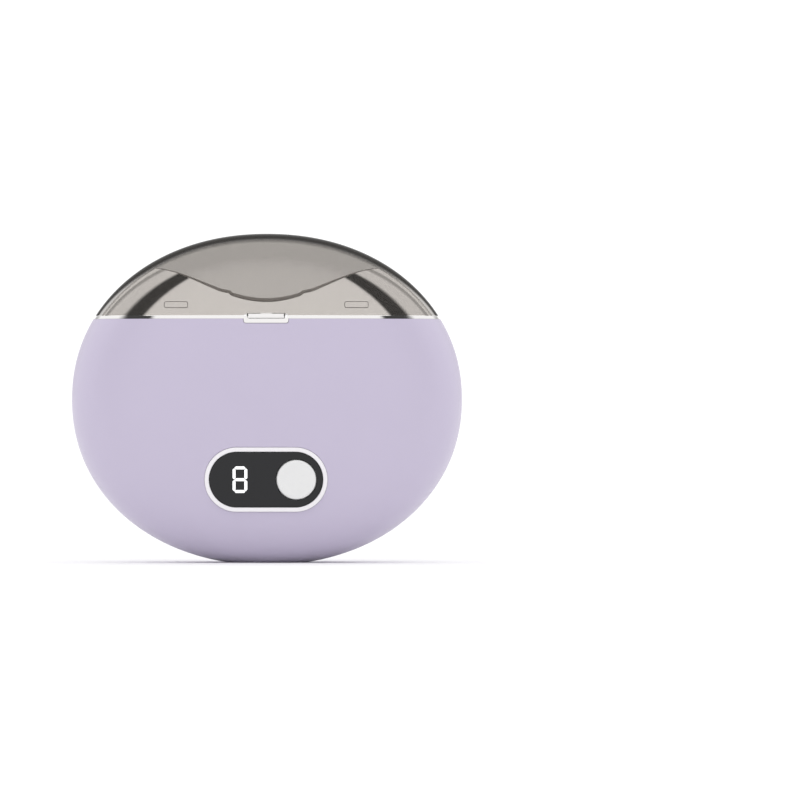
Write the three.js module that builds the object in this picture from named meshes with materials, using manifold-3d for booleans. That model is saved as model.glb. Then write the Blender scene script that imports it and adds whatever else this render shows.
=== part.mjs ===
// A rechargeable oval hand-held trimmer with a lift-off clear box on top, built as separate pieces.
// Millimetres, +Z up. Front is -Y, the round working port faces +Y. The origin is the centre of the foot.
import * as THREE from "three";
import { mergeVertices } from "three/addons/utils/BufferGeometryUtils.js";
import Module from "manifold-3d";

const wasm = await Module();
wasm.setup();

// ---- Driving dimensions -----------------------------------------------------------------------

const WIDTH = 110;
const HEIGHT = 92.6;
const DEPTH = 36;
const FOOT_CUT = 0.8; // how much of the oval's lowest point the flat foot takes off
const OUTLINE_POWER = 2.1; // 2 would be a plain ellipse seen from the front
const FACE_POWER = 7; // how flat the front and back faces are before they roll over

const HALF_WIDTH = WIDTH / 2;
const HALF_HEIGHT = (HEIGHT + FOOT_CUT) / 2;
const HALF_DEPTH = DEPTH / 2;
const CENTRE_Z = HEIGHT - HALF_HEIGHT;

const SHELL_WALL = 2;
const SEAM = 0.1; // half of the gap between two shells that meet
const FIT = 0.2; // gap between fixed pieces that sit in each other

const SPLIT_Z = 68.5; // top of the coloured shells, underside of the collar
const DECK = 0.8; // height of the bright band, and thickness of the collar's deck
const DECK_TOP = SPLIT_Z + DECK;

const PORT_Z = 46.4;
const PORT_RADIUS = 15.25;
const PANEL_Z = 23.4; // centre of the display and button panel

// ---- Making solids ----------------------------------------------------------------------------

// A closed three.js geometry as a solid that can be joined and cut.
function solid(geometry) {
  const bare = geometry.clone();
  bare.deleteAttribute("normal");
  bare.deleteAttribute("uv");
  const merged = mergeVertices(bare, 1e-4);
  const corners = Array.from(merged.index.array);
  const kept = [];
  for (let i = 0; i < corners.length; i += 3) {
    const [a, b, c] = corners.slice(i, i + 3);
    if (a !== b && b !== c && c !== a) kept.push(a, b, c);
  }
  return new wasm.Manifold(
    new wasm.Mesh({
      numProp: 3,
      vertProperties: merged.attributes.position.array,
      triVerts: new Uint32Array(kept),
    }),
  );
}

// A solid as a three.js geometry.
function geometryOf(body) {
  const mesh = body.getMesh();
  const geometry = new THREE.BufferGeometry();
  geometry.setAttribute("position", new THREE.BufferAttribute(mesh.vertProperties, 3));
  geometry.setIndex(new THREE.BufferAttribute(mesh.triVerts, 1));
  return geometry;
}

function join(...bodies) {
  return bodies.reduce((sum, body) => sum.add(body));
}

function cut(body, ...tools) {
  return tools.reduce((left, tool) => left.subtract(tool), body);
}

// A box between two corners.
function box(low, high) {
  const size = high.map((top, i) => top - low[i]);
  const geometry = new THREE.BoxGeometry(...size);
  geometry.translate(...low.map((bottom, i) => bottom + size[i] / 2));
  return solid(geometry);
}

const TURN_TO = {
  X: new THREE.Matrix4().makeRotationZ(-Math.PI / 2),
  Y: new THREE.Matrix4(),
  Z: new THREE.Matrix4().makeRotationX(Math.PI / 2),
};

// A round rod along an axis, from one end to the other on that axis, through the point (x, y, z).
function rod(axis, radius, from, to, [x, y, z], sides = 16) {
  const geometry = new THREE.CylinderGeometry(radius, radius, to - from, sides);
  geometry.applyMatrix4(TURN_TO[axis]);
  const middle = { X: [(from + to) / 2, y, z], Y: [x, (from + to) / 2, z], Z: [x, y, (from + to) / 2] };
  geometry.translate(...middle[axis]);
  return solid(geometry);
}

// A flat outline drawn in X and Z, made solid between two depths along Y.
function slab(outline, from, to, curveSegments = 6) {
  const geometry = new THREE.ExtrudeGeometry(outline, {
    depth: to - from,
    bevelEnabled: false,
    curveSegments,
  });
  geometry.rotateX(Math.PI / 2);
  geometry.translate(0, to, 0);
  return solid(geometry);
}

// A flat outline drawn in Y and Z, made solid between two places along X.
function slice(outline, from, to) {
  const geometry = new THREE.ExtrudeGeometry(outline, { depth: to - from, bevelEnabled: false });
  geometry.applyMatrix4(
    new THREE.Matrix4().makeBasis(
      new THREE.Vector3(0, 1, 0),
      new THREE.Vector3(0, 0, 1),
      new THREE.Vector3(1, 0, 0),
    ),
  );
  geometry.translate(from, 0, 0);
  return solid(geometry);
}

// A profile of [radius, y] points turned about the port's axis.
function turned(profile, segments = 40) {
  const closed = [...profile, profile[0]].map(([radius, y]) => new THREE.Vector2(radius, y));
  const geometry = new THREE.LatheGeometry(closed, segments);
  geometry.translate(0, 0, PORT_Z);
  const body = solid(geometry);
  return body.volume() < 0 ? solid(geometry.scale(-1, 1, 1)) : body;
}

function signedPower(value, power) {
  return Math.sign(value) * Math.abs(value) ** power;
}

// The oval pebble that every outer wall is a layer of, taken in by an inset on each side.
function pebble(insetX, insetY, insetZ, around, rings, facePower = FACE_POWER) {
  const sphere = new THREE.SphereGeometry(1, around, rings);
  const at = sphere.attributes.position;
  for (let i = 0; i < at.count; i++) {
    const spread = Math.hypot(at.getX(i), at.getZ(i)) ** (2 / facePower);
    const angle = Math.atan2(at.getZ(i), at.getX(i));
    at.setXYZ(
      i,
      (HALF_WIDTH - insetX) * spread * signedPower(Math.cos(angle), 2 / OUTLINE_POWER),
      (HALF_DEPTH - insetY) * at.getY(i),
      (HALF_HEIGHT - insetZ) * spread * signedPower(Math.sin(angle), 2 / OUTLINE_POWER),
    );
  }
  sphere.translate(0, 0, CENTRE_Z);
  return solid(sphere);
}

// The part of a body between two heights.
function between(body, low, high) {
  return body.intersect(box([-HALF_WIDTH - 1, -HALF_DEPTH - 1, low], [HALF_WIDTH + 1, HALF_DEPTH + 1, high]));
}

// ---- Outlines ---------------------------------------------------------------------------------

function circle(radius, x = 0, z = 0) {
  const outline = new THREE.Shape();
  outline.absarc(x, z, radius, 0, 2 * Math.PI);
  return outline;
}

// A rectangle with round ends, or with round corners where the radius is smaller.
function roundedBar(halfLength, halfHeight, x, z, radius = halfHeight) {
  const outline = new THREE.Shape();
  const [right, top] = [halfLength - radius, halfHeight - radius];
  outline.absarc(x + right, z - top, radius, -Math.PI / 2, 0);
  outline.absarc(x + right, z + top, radius, 0, Math.PI / 2);
  outline.absarc(x - right, z + top, radius, Math.PI / 2, Math.PI);
  outline.absarc(x - right, z - top, radius, Math.PI, 1.5 * Math.PI);
  return outline;
}

// A letter D lying on its back: a flat top edge and a round belly.
function dOutline(halfChord, drop, topZ) {
  const radius = (halfChord ** 2 + drop ** 2) / (2 * drop);
  const centreZ = topZ - drop + radius;
  const corner = Math.atan2(topZ - centreZ, halfChord);
  const outline = new THREE.Shape();
  outline.absarc(0, centreZ, radius, corner, -Math.PI - corner, true);
  return outline;
}

// ---- Materials --------------------------------------------------------------------------------

function material(color, roughness, metalness, opacity = 1) {
  return new THREE.MeshStandardMaterial({ color, roughness, metalness, opacity, transparent: opacity < 1 });
}

const LAVENDER = material("#cac2d8", 0.42, 0);
const CHROME = material("#e6e4e2", 0.12, 1);
const SMOKE_CLEAR = material("#8f8b83", 0.05, 0, 0.4);
const VIOLET_CLEAR = material("#6d6281", 0.05, 0, 0.45);
const WHITE = material("#f2f1f0", 0.35, 0);
const BLACK_GLOSS = material("#2b2b2d", 0.15, 0);
const STEEL = material("#b9bcc0", 0.25, 1);
const DARK_STEEL = material("#6f7277", 0.35, 1);
const BRASS = material("#c9a45c", 0.3, 1);
const BOARD_GREEN = material("#2f6b4a", 0.5, 0);
const NYLON = material("#e9e6dc", 0.5, 0);
const RED = material("#b8332c", 0.5, 0);
const BLACK = material("#222224", 0.6, 0);
const BLUE_WRAP = material("#3d5f9a", 0.4, 0);
const SEAL_GREY = material("#77717f", 0.7, 0);

const trimmer = new THREE.Group();

function add(name, body, look) {
  const mesh = new THREE.Mesh(geometryOf(body), look);
  mesh.name = name;
  trimmer.add(mesh);
}

// ---- The layers of the pebble -----------------------------------------------------------------

const COVER_SIDE = 1.2;
const COVER_FACE = 1.4;
const COVER_TOP = 1.7;
const INSERT_GAP = 0.5; // between the clear box and the ends of the collar's upright wall
const INSERT_SETBACK = 3.8; // from the pebble's front to the collar's upright wall
const INSERT_POWER = 11; // the upright wall's face is flatter than the pebble's
const INSERT_WALL = 1.2;

const outer = pebble(0, 0, 0, 48, 18);
const shellInside = pebble(SHELL_WALL, SHELL_WALL, SHELL_WALL, 32, 12);
const coverInside = pebble(COVER_SIDE, COVER_FACE, COVER_TOP, 48, 18);

// The upright wall's outer surface, taken in by a depth.
function insertLayer(depth) {
  const end = INSERT_GAP + depth;
  return pebble(COVER_SIDE + end, INSERT_SETBACK + depth, COVER_TOP + end, 48, 18, INSERT_POWER);
}

// ---- The notch for the release latch ----------------------------------------------------------

const LATCH = { halfLength: 5.2, bottom: 68.6, top: 69.9, back: -11.7 };
const LATCH_LIP = { halfLength: 6.25, bottom: 67.3 };
const FRONT = -HALF_DEPTH - 1; // a plane in front of everything

// ---- Charging inlet ---------------------------------------------------------------------------

const INLET = { halfLength: 4.5, halfHeight: 1.6, length: 7.3, bottom: 0.4, wall: 0.35 };

function inletRod(grow, from, to) {
  const outline = roundedBar(INLET.halfLength + grow, INLET.halfHeight + grow, 0, 0);
  const geometry = new THREE.ExtrudeGeometry(outline, { depth: to - from, bevelEnabled: false, curveSegments: 5 });
  geometry.translate(0, 0, from);
  return solid(geometry);
}

// ---- Front shell ------------------------------------------------------------------------------

const BOARD = { back: -11.4, front: -13, halfLength: 23.5, bottom: 15.5, top: 36, postX: 20.9 };
const BEZEL = { halfLength: 17.25, halfHeight: 9.05, rim: 1.25, front: -17.9, back: -15.2 };
const POST_SCREW_DEPTH = 5;
const HOUSING = { halfWidth: 13.2, wall: 1.2, front: -7.6, back: 9.2, bottom: 32.6, top: 67.6 };
const HOUSING_SCREW = { x: 7, z: 63 };
const COLLAR_SCREW = { x: 29, y: -10, bossBottom: 62.5, bossRadius: 2.1 };

function frontShell() {
  const wall = between(outer.subtract(shellInside), 0, SPLIT_Z - FIT);
  let shell = wall.intersect(box([-60, FRONT, -1], [60, -SEAM, 90]));
  for (const side of [-1, 1]) {
    const boardPost = [side * BOARD.postX, 0, PANEL_Z];
    const housingPost = [side * HOUSING_SCREW.x, 0, HOUSING_SCREW.z];
    const bossAt = [side * COLLAR_SCREW.x, COLLAR_SCREW.y, 0];
    shell = join(
      shell,
      rod("Y", 2.2, -16.6, BOARD.front - FIT, boardPost),
      rod("Y", 2.4, -16.6, HOUSING.front - FIT, housingPost),
      rod("Z", COLLAR_SCREW.bossRadius, COLLAR_SCREW.bossBottom, SPLIT_Z - FIT, bossAt),
      between(
        outer.intersect(box([bossAt[0] - 0.8, -17, 0], [bossAt[0] + 0.8, bossAt[1] - 1, 90])),
        COLLAR_SCREW.bossBottom,
        SPLIT_Z - FIT,
      ),
    );
    shell = cut(
      shell,
      rod("Y", 0.9, BOARD.front - POST_SCREW_DEPTH + 2, BOARD.front, boardPost, 12),
      rod("Y", 0.9, HOUSING.front - POST_SCREW_DEPTH - 1, HOUSING.front, housingPost, 12),
      rod("Z", 0.9, COLLAR_SCREW.bossBottom + 0.5, SPLIT_Z, bossAt, 12),
    );
  }
  return cut(
    shell,
    slab(roundedBar(BEZEL.halfLength + FIT, BEZEL.halfHeight + FIT, 0, PANEL_Z), FRONT, -15),
    box([-LATCH_LIP.halfLength - FIT, FRONT, LATCH_LIP.bottom - FIT], [LATCH_LIP.halfLength + FIT, -15, 90]),
    inletRod(FIT, -1, 4),
  );
}

// ---- Rear shell -------------------------------------------------------------------------------

const DISH = { halfWidth: 21.6, halfHeight: 17, depth: 3.2, y: 18.2, backing: 1.8 };
const SEAT = { radius: 17.6, bottom: 11.2 };

function dish(grow) {
  const sphere = new THREE.SphereGeometry(1, 32, 12);
  sphere.scale(DISH.halfWidth + grow, DISH.depth + grow, DISH.halfHeight + grow);
  sphere.translate(0, DISH.y, PORT_Z);
  return solid(sphere);
}

function rearShell() {
  const wall = between(outer.subtract(shellInside), 0, SPLIT_Z - FIT);
  const half = wall.intersect(box([-60, SEAM, -1], [60, HALF_DEPTH + 1, 90]));
  const backing = join(dish(DISH.backing), rod("Y", SEAT.radius, SEAT.bottom, DISH.y, [0, 0, PORT_Z], 40));
  const hollow = rod("Y", PORT_RADIUS + FIT, SEAT.bottom - 1, DISH.y + 1, [0, 0, PORT_Z], 40);
  return cut(join(half, backing.intersect(outer)), dish(0), hollow, inletRod(FIT, -1, 4));
}

// ---- Bright collar: deck, band and the wave-topped wall inside the clear box -------------------

const WAVE = { top: 82.9, frontDip: 73.7, rearDip: 70.4, halfWidth: 36, points: 20 };
const CHUTE = { halfWidth: 11, front: -5.5, back: 8.2 };
const WAVE_STEP = { near: 9.9, far: 12.6, rise: 0.5 };
const SNAP_PAD = { x: 26, z: 72.3, halfLength: 3.4, halfHeight: 0.85, proud: 0.22 };

function waveHeight(x, dip) {
  return WAVE.top - ((WAVE.top - dip) * (1 + Math.cos((Math.PI * x) / WAVE.halfWidth))) / 2;
}

// Everything above a wave that dips in the middle.
function aboveWave(dip, from, to) {
  const outline = new THREE.Shape();
  outline.moveTo(-60, WAVE.top);
  for (let i = 0; i <= WAVE.points; i++) {
    const x = WAVE.halfWidth * ((2 * i) / WAVE.points - 1);
    outline.lineTo(x, waveHeight(x, dip));
  }
  outline.lineTo(60, WAVE.top);
  outline.lineTo(60, HEIGHT + 5);
  outline.lineTo(-60, HEIGHT + 5);
  return slab(outline, from, to);
}

// A short raised step on the wave, between two places along X.
function waveStep(dip, [left, right], from, to) {
  const outline = new THREE.Shape();
  outline.moveTo(left, waveHeight(left, dip) - 0.6);
  outline.lineTo(right, waveHeight(right, dip) - 0.6);
  outline.lineTo(right, waveHeight(right, dip) + WAVE_STEP.rise);
  outline.lineTo(left, waveHeight(left, dip) + WAVE_STEP.rise);
  return slab(outline, from, to);
}

function collar() {
  const deck = between(outer, SPLIT_Z, DECK_TOP);
  const ring = between(insertLayer(0).subtract(insertLayer(INSERT_WALL)), SPLIT_Z, 90);
  let wall = cut(ring, aboveWave(WAVE.frontDip, FRONT, 0), aboveWave(WAVE.rearDip, 0, HALF_DEPTH + 1));
  for (const side of [-1, 1]) {
    const span = [side * WAVE_STEP.near, side * WAVE_STEP.far].sort((a, b) => a - b);
    const steps = join(
      waveStep(WAVE.frontDip, span, FRONT, 0),
      waveStep(WAVE.rearDip, span, 0.1, HALF_DEPTH + 1),
    );
    wall = wall.add(ring.intersect(steps));
  }
  const lip = outer.intersect(
    box([-LATCH_LIP.halfLength, FRONT, LATCH_LIP.bottom], [LATCH_LIP.halfLength, -15.2, SPLIT_Z + 0.2]),
  );
  const latchFloor = box(
    [-LATCH_LIP.halfLength, -15.4, SPLIT_Z - 0.5],
    [LATCH_LIP.halfLength, LATCH.back + 1.8, SPLIT_Z + 0.1],
  );
  let body = join(deck, wall, lip, latchFloor, box([-1.6, -8, DECK_TOP - 0.2], [1.6, -6.8, 72.6]));
  const padLayer = insertLayer(-SNAP_PAD.proud).subtract(insertLayer(0.5));
  for (const side of [-1, 1]) {
    const pad = roundedBar(SNAP_PAD.halfLength, SNAP_PAD.halfHeight, side * SNAP_PAD.x, SNAP_PAD.z, 0.4);
    body = body.add(padLayer.intersect(slab(pad, FRONT, HALF_DEPTH + 1, 3)));
  }
  const notch = { low: LATCH.bottom - 0.2, high: LATCH.top + 0.25, side: LATCH.halfLength + 0.25 };
  const screwHoles = [-1, 1].map((side) =>
    rod("Z", 1.15, SPLIT_Z - 1, DECK_TOP + 1, [side * COLLAR_SCREW.x, COLLAR_SCREW.y, 0]),
  );
  return cut(
    body,
    box([-CHUTE.halfWidth, CHUTE.front, SPLIT_Z - 1], [CHUTE.halfWidth, CHUTE.back, DECK_TOP + 1]),
    box([-notch.side, FRONT, notch.low], [notch.side, LATCH.back + 1.2, notch.high]),
    ...screwHoles,
  );
}

// ---- Clear box --------------------------------------------------------------------------------

function clearBox() {
  const shell = between(outer.subtract(coverInside), DECK_TOP + FIT, HEIGHT + 1);
  const latchGap = box([-LATCH.halfLength - 0.25, FRONT, 60], [LATCH.halfLength + 0.25, -12, LATCH.top + 0.25]);
  return shell.subtract(latchGap);
}

// ---- Release latch ----------------------------------------------------------------------------

function latch() {
  const bar = box([-LATCH.halfLength, -17.9, LATCH.bottom], [LATCH.halfLength, LATCH.back, LATCH.top]);
  return join(bar, box([-1.6, LATCH.back - 0.8, LATCH.bottom], [1.6, LATCH.back, 72.4]));
}

// A coil spring along Y, as one wire that runs round and round.
function coil(radius, wire, turns, from, to, x, z) {
  const points = [];
  const steps = turns * 8;
  for (let i = 0; i <= steps; i++) {
    const angle = (Math.PI * i) / 4;
    points.push(
      new THREE.Vector3(
        x + radius * Math.cos(angle),
        from + wire + ((to - from - 2 * wire) * i) / steps,
        z + radius * Math.sin(angle),
      ),
    );
  }
  return wireAlong(points, wire, steps, 5);
}

// A round wire swept along a smooth curve through some points.
function wireAlong(points, radius, steps, sides = 8) {
  const section = new THREE.Shape();
  for (let i = 0; i < sides; i++) {
    const angle = (2 * Math.PI * i) / sides;
    if (i === 0) section.moveTo(radius, 0);
    else section.lineTo(radius * Math.cos(angle), radius * Math.sin(angle));
  }
  const path = new THREE.CatmullRomCurve3(points);
  const body = solid(new THREE.ExtrudeGeometry(section, { steps, extrudePath: path, bevelEnabled: false }));
  return body;
}

// ---- Panel: bezel, window, digit and button ---------------------------------------------------

const WINDOW = { front: -17.6, back: -16.4 };
const DIGIT = { x: -7.3, halfWidth: 2.05, stroke: 0.8, gap: 0.44, tip: -17.56 };
const BUTTON = { x: 8.5, radius: 5.5, front: -18.35, flange: -16.2, flangeRadius: 6.3, skirt: -15.8 };

// The seven bars of one number, pointed at both ends, each grown by a margin.
function digitBars(grow, from, to) {
  const spacing = DIGIT.halfWidth - DIGIT.stroke / 2;
  const half = DIGIT.stroke / 2 + grow;
  const reach = spacing - DIGIT.gap / Math.SQRT2 + grow * Math.SQRT2;
  const bar = (x, z, upright) => {
    const corners = [[reach, 0], [reach - half, half], [half - reach, half], [-reach, 0]];
    const loop = [...corners, [half - reach, -half], [reach - half, -half]];
    return new THREE.Shape(
      loop.map(([u, v]) => new THREE.Vector2(DIGIT.x + x + (upright ? -v : u), PANEL_Z + z + (upright ? u : v))),
    );
  };
  const outlines = [-2, 0, 2].map((level) => bar(0, level * spacing, false));
  for (const side of [-1, 1]) {
    outlines.push(bar(side * spacing, spacing, true), bar(side * spacing, -spacing, true));
  }
  return outlines.map((outline) => slab(outline, from, to));
}

function bezel() {
  const rim = slab(roundedBar(BEZEL.halfLength, BEZEL.halfHeight, 0, PANEL_Z), BEZEL.front, BEZEL.back);
  const opening = roundedBar(BEZEL.halfLength - BEZEL.rim, BEZEL.halfHeight - BEZEL.rim, 0, PANEL_Z);
  return rim.subtract(slab(opening, BEZEL.front - 1, BEZEL.back + 1));
}

function windowPanel() {
  const inset = BEZEL.rim + 0.1;
  const pane = roundedBar(BEZEL.halfLength - inset, BEZEL.halfHeight - inset, 0, PANEL_Z);
  const hole = slab(circle(BUTTON.radius + 0.25, BUTTON.x, PANEL_Z), WINDOW.front - 1, WINDOW.back + 1);
  return cut(slab(pane, WINDOW.front, WINDOW.back), hole, ...digitBars(0.1, WINDOW.front - 1, WINDOW.back + 1));
}

function digitModule() {
  const back = box([DIGIT.x - 3.4, WINDOW.back + FIT, PANEL_Z - 5], [DIGIT.x + 3.4, BOARD.front - FIT, PANEL_Z + 5]);
  return join(back, ...digitBars(0, DIGIT.tip, WINDOW.back + 0.3));
}

function buttonCap() {
  const at = [BUTTON.x, 0, PANEL_Z];
  const rim = 1;
  const bevel = new THREE.CylinderGeometry(BUTTON.radius, BUTTON.radius - rim / 2, rim / 2, 32);
  bevel.translate(BUTTON.x, BUTTON.front + rim / 4, PANEL_Z);
  return join(
    solid(bevel),
    rod("Y", BUTTON.radius, BUTTON.front + rim / 2, BUTTON.skirt, at, 32),
    rod("Y", BUTTON.flangeRadius, BUTTON.flange, BUTTON.skirt, at, 32),
    rod("Y", 1.5, BUTTON.skirt - 0.1, -14.9, at),
  );
}

// ---- Control board and power ------------------------------------------------------------------

const SWITCH_TOP = -14.75;

function controlBoard() {
  const board = box([-BOARD.halfLength, BOARD.front, BOARD.bottom], [BOARD.halfLength, BOARD.back, BOARD.top]);
  const holes = [-1, 1].map((side) => rod("Y", 1.15, BOARD.front - 1, BOARD.back + 1, [side * BOARD.postX, 0, PANEL_Z]));
  const chips = [
    box([-3, BOARD.back - 0.1, 29], [3, BOARD.back + 0.9, 33]),
    box([-14, BOARD.back - 0.1, 29.5], [-10.5, BOARD.back + 0.8, 33]),
    box([10, BOARD.back - 0.1, 30], [12.5, BOARD.back + 0.7, 31.6]),
  ];
  return cut(join(board, ...chips), ...holes);
}

function switchBody() {
  const at = [BUTTON.x, 0, PANEL_Z];
  const shell = box([BUTTON.x - 3, -14.2, PANEL_Z - 3], [BUTTON.x + 3, BOARD.front - FIT, PANEL_Z + 3]);
  return shell.subtract(rod("Y", 1.45, -15, -13.3, at));
}

function inletShell() {
  const top = INLET.bottom + INLET.length;
  const sleeve = inletRod(0, INLET.bottom, top).subtract(inletRod(-INLET.wall, INLET.bottom - 1, top - 0.6));
  return join(sleeve, box([-3.3, -0.3, INLET.bottom + 0.8], [3.3, 0.3, top - 0.5]));
}

const CELL = { y: 2.4, z: 20.6, radius: 7, halfLength: 24.5 };

function cell() {
  const can = rod("X", CELL.radius, -CELL.halfLength, CELL.halfLength, [0, CELL.y, CELL.z], 32);
  return can.add(rod("X", 2.6, CELL.halfLength - 0.1, CELL.halfLength + 0.9, [0, CELL.y, CELL.z], 20));
}

// A nickel strip over one end of the cell.
function cellTab(side) {
  const face = side * (CELL.halfLength + (side > 0 ? 0.9 : 0) + 0.2);
  const [low, high] = [face, face + side * 0.4].sort((a, b) => a - b);
  return box([low, CELL.y - 2.5, CELL.z - 2.5], [high, CELL.y + 2.5, CELL.z + 5]);
}

// ---- Cutter: housing, guide, drum and gears ---------------------------------------------------

const DRUM = { y: -0.9, z: 41.6, radius: 4, halfLength: 10.8, axleRadius: 1, boreRadius: 1.2, flutes: 10 };
const GEAR = { module: 0.55, drumTeeth: 28, pinionTeeth: 14, from: 14.2, to: 16.6, backlash: 0.16, pressure: 20 };
const MOTOR_Z = DRUM.z + (GEAR.module * (GEAR.drumTeeth + GEAR.pinionTeeth)) / 2;
const MOTOR = { radius: 10, halfFlat: 7.7, from: 19.6, to: 43.6, shaftRadius: 1, nose: 3 };
const GEAR_CASE = { front: -10.6, back: 8.8, bottom: 31.6, top: 65.6, from: 13.5, to: 19.2, wall: 1.1 };
const BUSH = { radius: 2.5, bore: 1.08, from: 11.8, to: 13.3 };

function cutterHousing() {
  const h = HOUSING;
  const block = box([-h.halfWidth, h.front, h.bottom], [h.halfWidth, h.back, h.top]);
  const room = box(
    [-h.halfWidth + h.wall, h.front + h.wall, h.bottom + h.wall],
    [h.halfWidth - h.wall, h.back + 1, h.top + 1],
  );
  const screwHoles = [-1, 1].map((side) =>
    rod("Y", 1.15, h.front - 1, h.front + h.wall + 1, [side * HOUSING_SCREW.x, 0, HOUSING_SCREW.z]),
  );
  const bushHole = rod("X", BUSH.radius + FIT, -15, 15, [0, DRUM.y, DRUM.z]);
  return cut(block, room, bushHole, ...screwHoles);
}

const GUIDE = { front: 9.4, back: 10.6, floor: 5, floorWall: 1.2, ledge: 8.6 };
const FINGER_D = { halfChord: 9.1, drop: 6.8, top: 42.9 };
const INNER_D = { halfChord: 7.25, drop: 5.1, top: 42.9 };

function fingerGuide() {
  const plate = box(
    [-HOUSING.halfWidth, GUIDE.front, HOUSING.bottom],
    [HOUSING.halfWidth, GUIDE.back, HOUSING.top],
  );
  const wall = 1.1;
  const deep = GUIDE.floor - GUIDE.floorWall;
  const bowl = dOutline(INNER_D.halfChord + wall, INNER_D.drop + 2 * wall, INNER_D.top + wall);
  const lip = dOutline(FINGER_D.halfChord + wall, FINGER_D.drop + 2 * wall, FINGER_D.top + wall);
  const body = join(plate, slab(bowl, deep, GUIDE.back), slab(lip, GUIDE.ledge - wall, GUIDE.back));
  return cut(
    body,
    slab(dOutline(FINGER_D.halfChord, FINGER_D.drop, FINGER_D.top), GUIDE.ledge, GUIDE.back + 1),
    slab(dOutline(INNER_D.halfChord, INNER_D.drop, INNER_D.top), GUIDE.floor, GUIDE.back + 1),
    box([-6.2, deep - 1, 40.6], [6.2, GUIDE.floor + 1, 42.6]),
  );
}

// A drum with straight cutting flutes.
function cutterDrum() {
  const outline = new THREE.Shape();
  const depth = 0.7;
  for (let i = 0; i < DRUM.flutes; i++) {
    const start = (2 * Math.PI * i) / DRUM.flutes;
    const step = (2 * Math.PI) / DRUM.flutes;
    const points = [
      [DRUM.radius, start],
      [DRUM.radius, start + 0.35 * step],
      [DRUM.radius - depth, start + 0.5 * step],
      [DRUM.radius - depth, start + 0.95 * step],
    ];
    for (const [radius, angle] of points) {
      const at = [DRUM.y + radius * Math.cos(angle), DRUM.z + radius * Math.sin(angle)];
      if (i === 0 && angle === start) outline.moveTo(...at);
      else outline.lineTo(...at);
    }
  }
  const body = slice(outline, -DRUM.halfLength, DRUM.halfLength);
  return body.subtract(rod("X", DRUM.boreRadius, -15, 15, [0, DRUM.y, DRUM.z], 20));
}

// The outline of an involute gear about (y, z), with a tooth centred on the +Y side.
function gearOutline(teeth, y, z) {
  const pressure = THREE.MathUtils.degToRad(GEAR.pressure);
  const pitch = (GEAR.module * teeth) / 2;
  const base = pitch * Math.cos(pressure);
  const tip = pitch + 0.85 * GEAR.module;
  const root = pitch - 1.15 * GEAR.module;
  const involute = (angle) => Math.tan(angle) - angle;
  const halfAtPitch = Math.PI / (2 * teeth) - GEAR.backlash / (2 * pitch);
  const halfAt = (radius) => halfAtPitch + involute(pressure) - involute(Math.acos(Math.min(1, base / radius)));
  const low = Math.max(base, root);
  const flank = [low, tip];
  const outline = new THREE.Shape();
  const line = (radius, angle) => {
    const at = [y + radius * Math.cos(angle), z + radius * Math.sin(angle)];
    if (outline.curves.length === 0 && outline.currentPoint.length() === 0) outline.moveTo(...at);
    else outline.lineTo(...at);
  };
  for (let tooth = 0; tooth < teeth; tooth++) {
    const middle = (2 * Math.PI * tooth) / teeth;
    line(root, middle - halfAt(low));
    flank.forEach((radius) => line(radius, middle - halfAt(radius)));
    flank.toReversed().forEach((radius) => line(radius, middle + halfAt(radius)));
    line(root, middle + halfAt(low));
  }
  return outline;
}

function gear(teeth, z, boreRadius) {
  const body = slice(gearOutline(teeth, DRUM.y, z), GEAR.from, GEAR.to);
  return body.subtract(rod("X", boreRadius, GEAR.from - 1, GEAR.to + 1, [0, DRUM.y, z]));
}

function bush(side) {
  const at = [0, DRUM.y, DRUM.z];
  const [from, to] = side < 0 ? [-BUSH.to, -BUSH.from] : [BUSH.from, BUSH.to];
  return rod("X", BUSH.radius, from, to, at).subtract(rod("X", BUSH.bore, from - 1, to + 1, at, 20));
}

function gearCase() {
  const c = GEAR_CASE;
  const block = box([c.from, c.front, c.bottom], [c.to, c.back, c.top]);
  const room = box([c.from - 1, c.front + c.wall, c.bottom + c.wall], [c.to - c.wall, c.back - c.wall, c.top - c.wall]);
  const noseHole = rod("X", MOTOR.nose + FIT, c.to - 2, c.to + 1, [0, DRUM.y, MOTOR_Z]);
  const screwHoles = MOTOR_SCREW_Y.map((y) => rod("X", 0.95, c.to - 2, c.to + 1, [0, DRUM.y + y, MOTOR_Z], 12));
  return cut(block, room, noseHole, ...screwHoles);
}

const MOTOR_SCREW_Y = [-5, 5];

function motorCan() {
  const at = [0, DRUM.y, MOTOR_Z];
  const flats = box([0, DRUM.y - MOTOR.halfFlat, 0], [60, DRUM.y + MOTOR.halfFlat, 90]);
  const can = rod("X", MOTOR.radius, MOTOR.from, MOTOR.to, at, 32).intersect(flats);
  const body = join(can, rod("X", MOTOR.nose, MOTOR.from - 1.2, MOTOR.from + 0.1, at));
  const screwHoles = MOTOR_SCREW_Y.map((y) =>
    rod("X", 0.95, MOTOR.from - 1, MOTOR.from + 2.4, [0, DRUM.y + y, MOTOR_Z], 12),
  );
  return cut(body, rod("X", 1.2, MOTOR.from - 2, MOTOR.from + 8, at), ...screwHoles);
}

function motorEndCap() {
  const flats = box([0, DRUM.y - MOTOR.halfFlat, 0], [60, DRUM.y + MOTOR.halfFlat, 90]);
  const from = MOTOR.to + FIT;
  const cap = rod("X", MOTOR.radius - 0.6, from, from + 1.4, [0, DRUM.y, MOTOR_Z], 32).intersect(flats);
  const terminals = [-1, 1].map((side) =>
    box([from, DRUM.y + side * 4 - 0.7, MOTOR_Z - 0.2], [from + 2.4, DRUM.y + side * 4 + 0.7, MOTOR_Z + 0.2]),
  );
  return join(cap, ...terminals);
}

// ---- Working port: ring, seal and twist cover -------------------------------------------------

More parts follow.
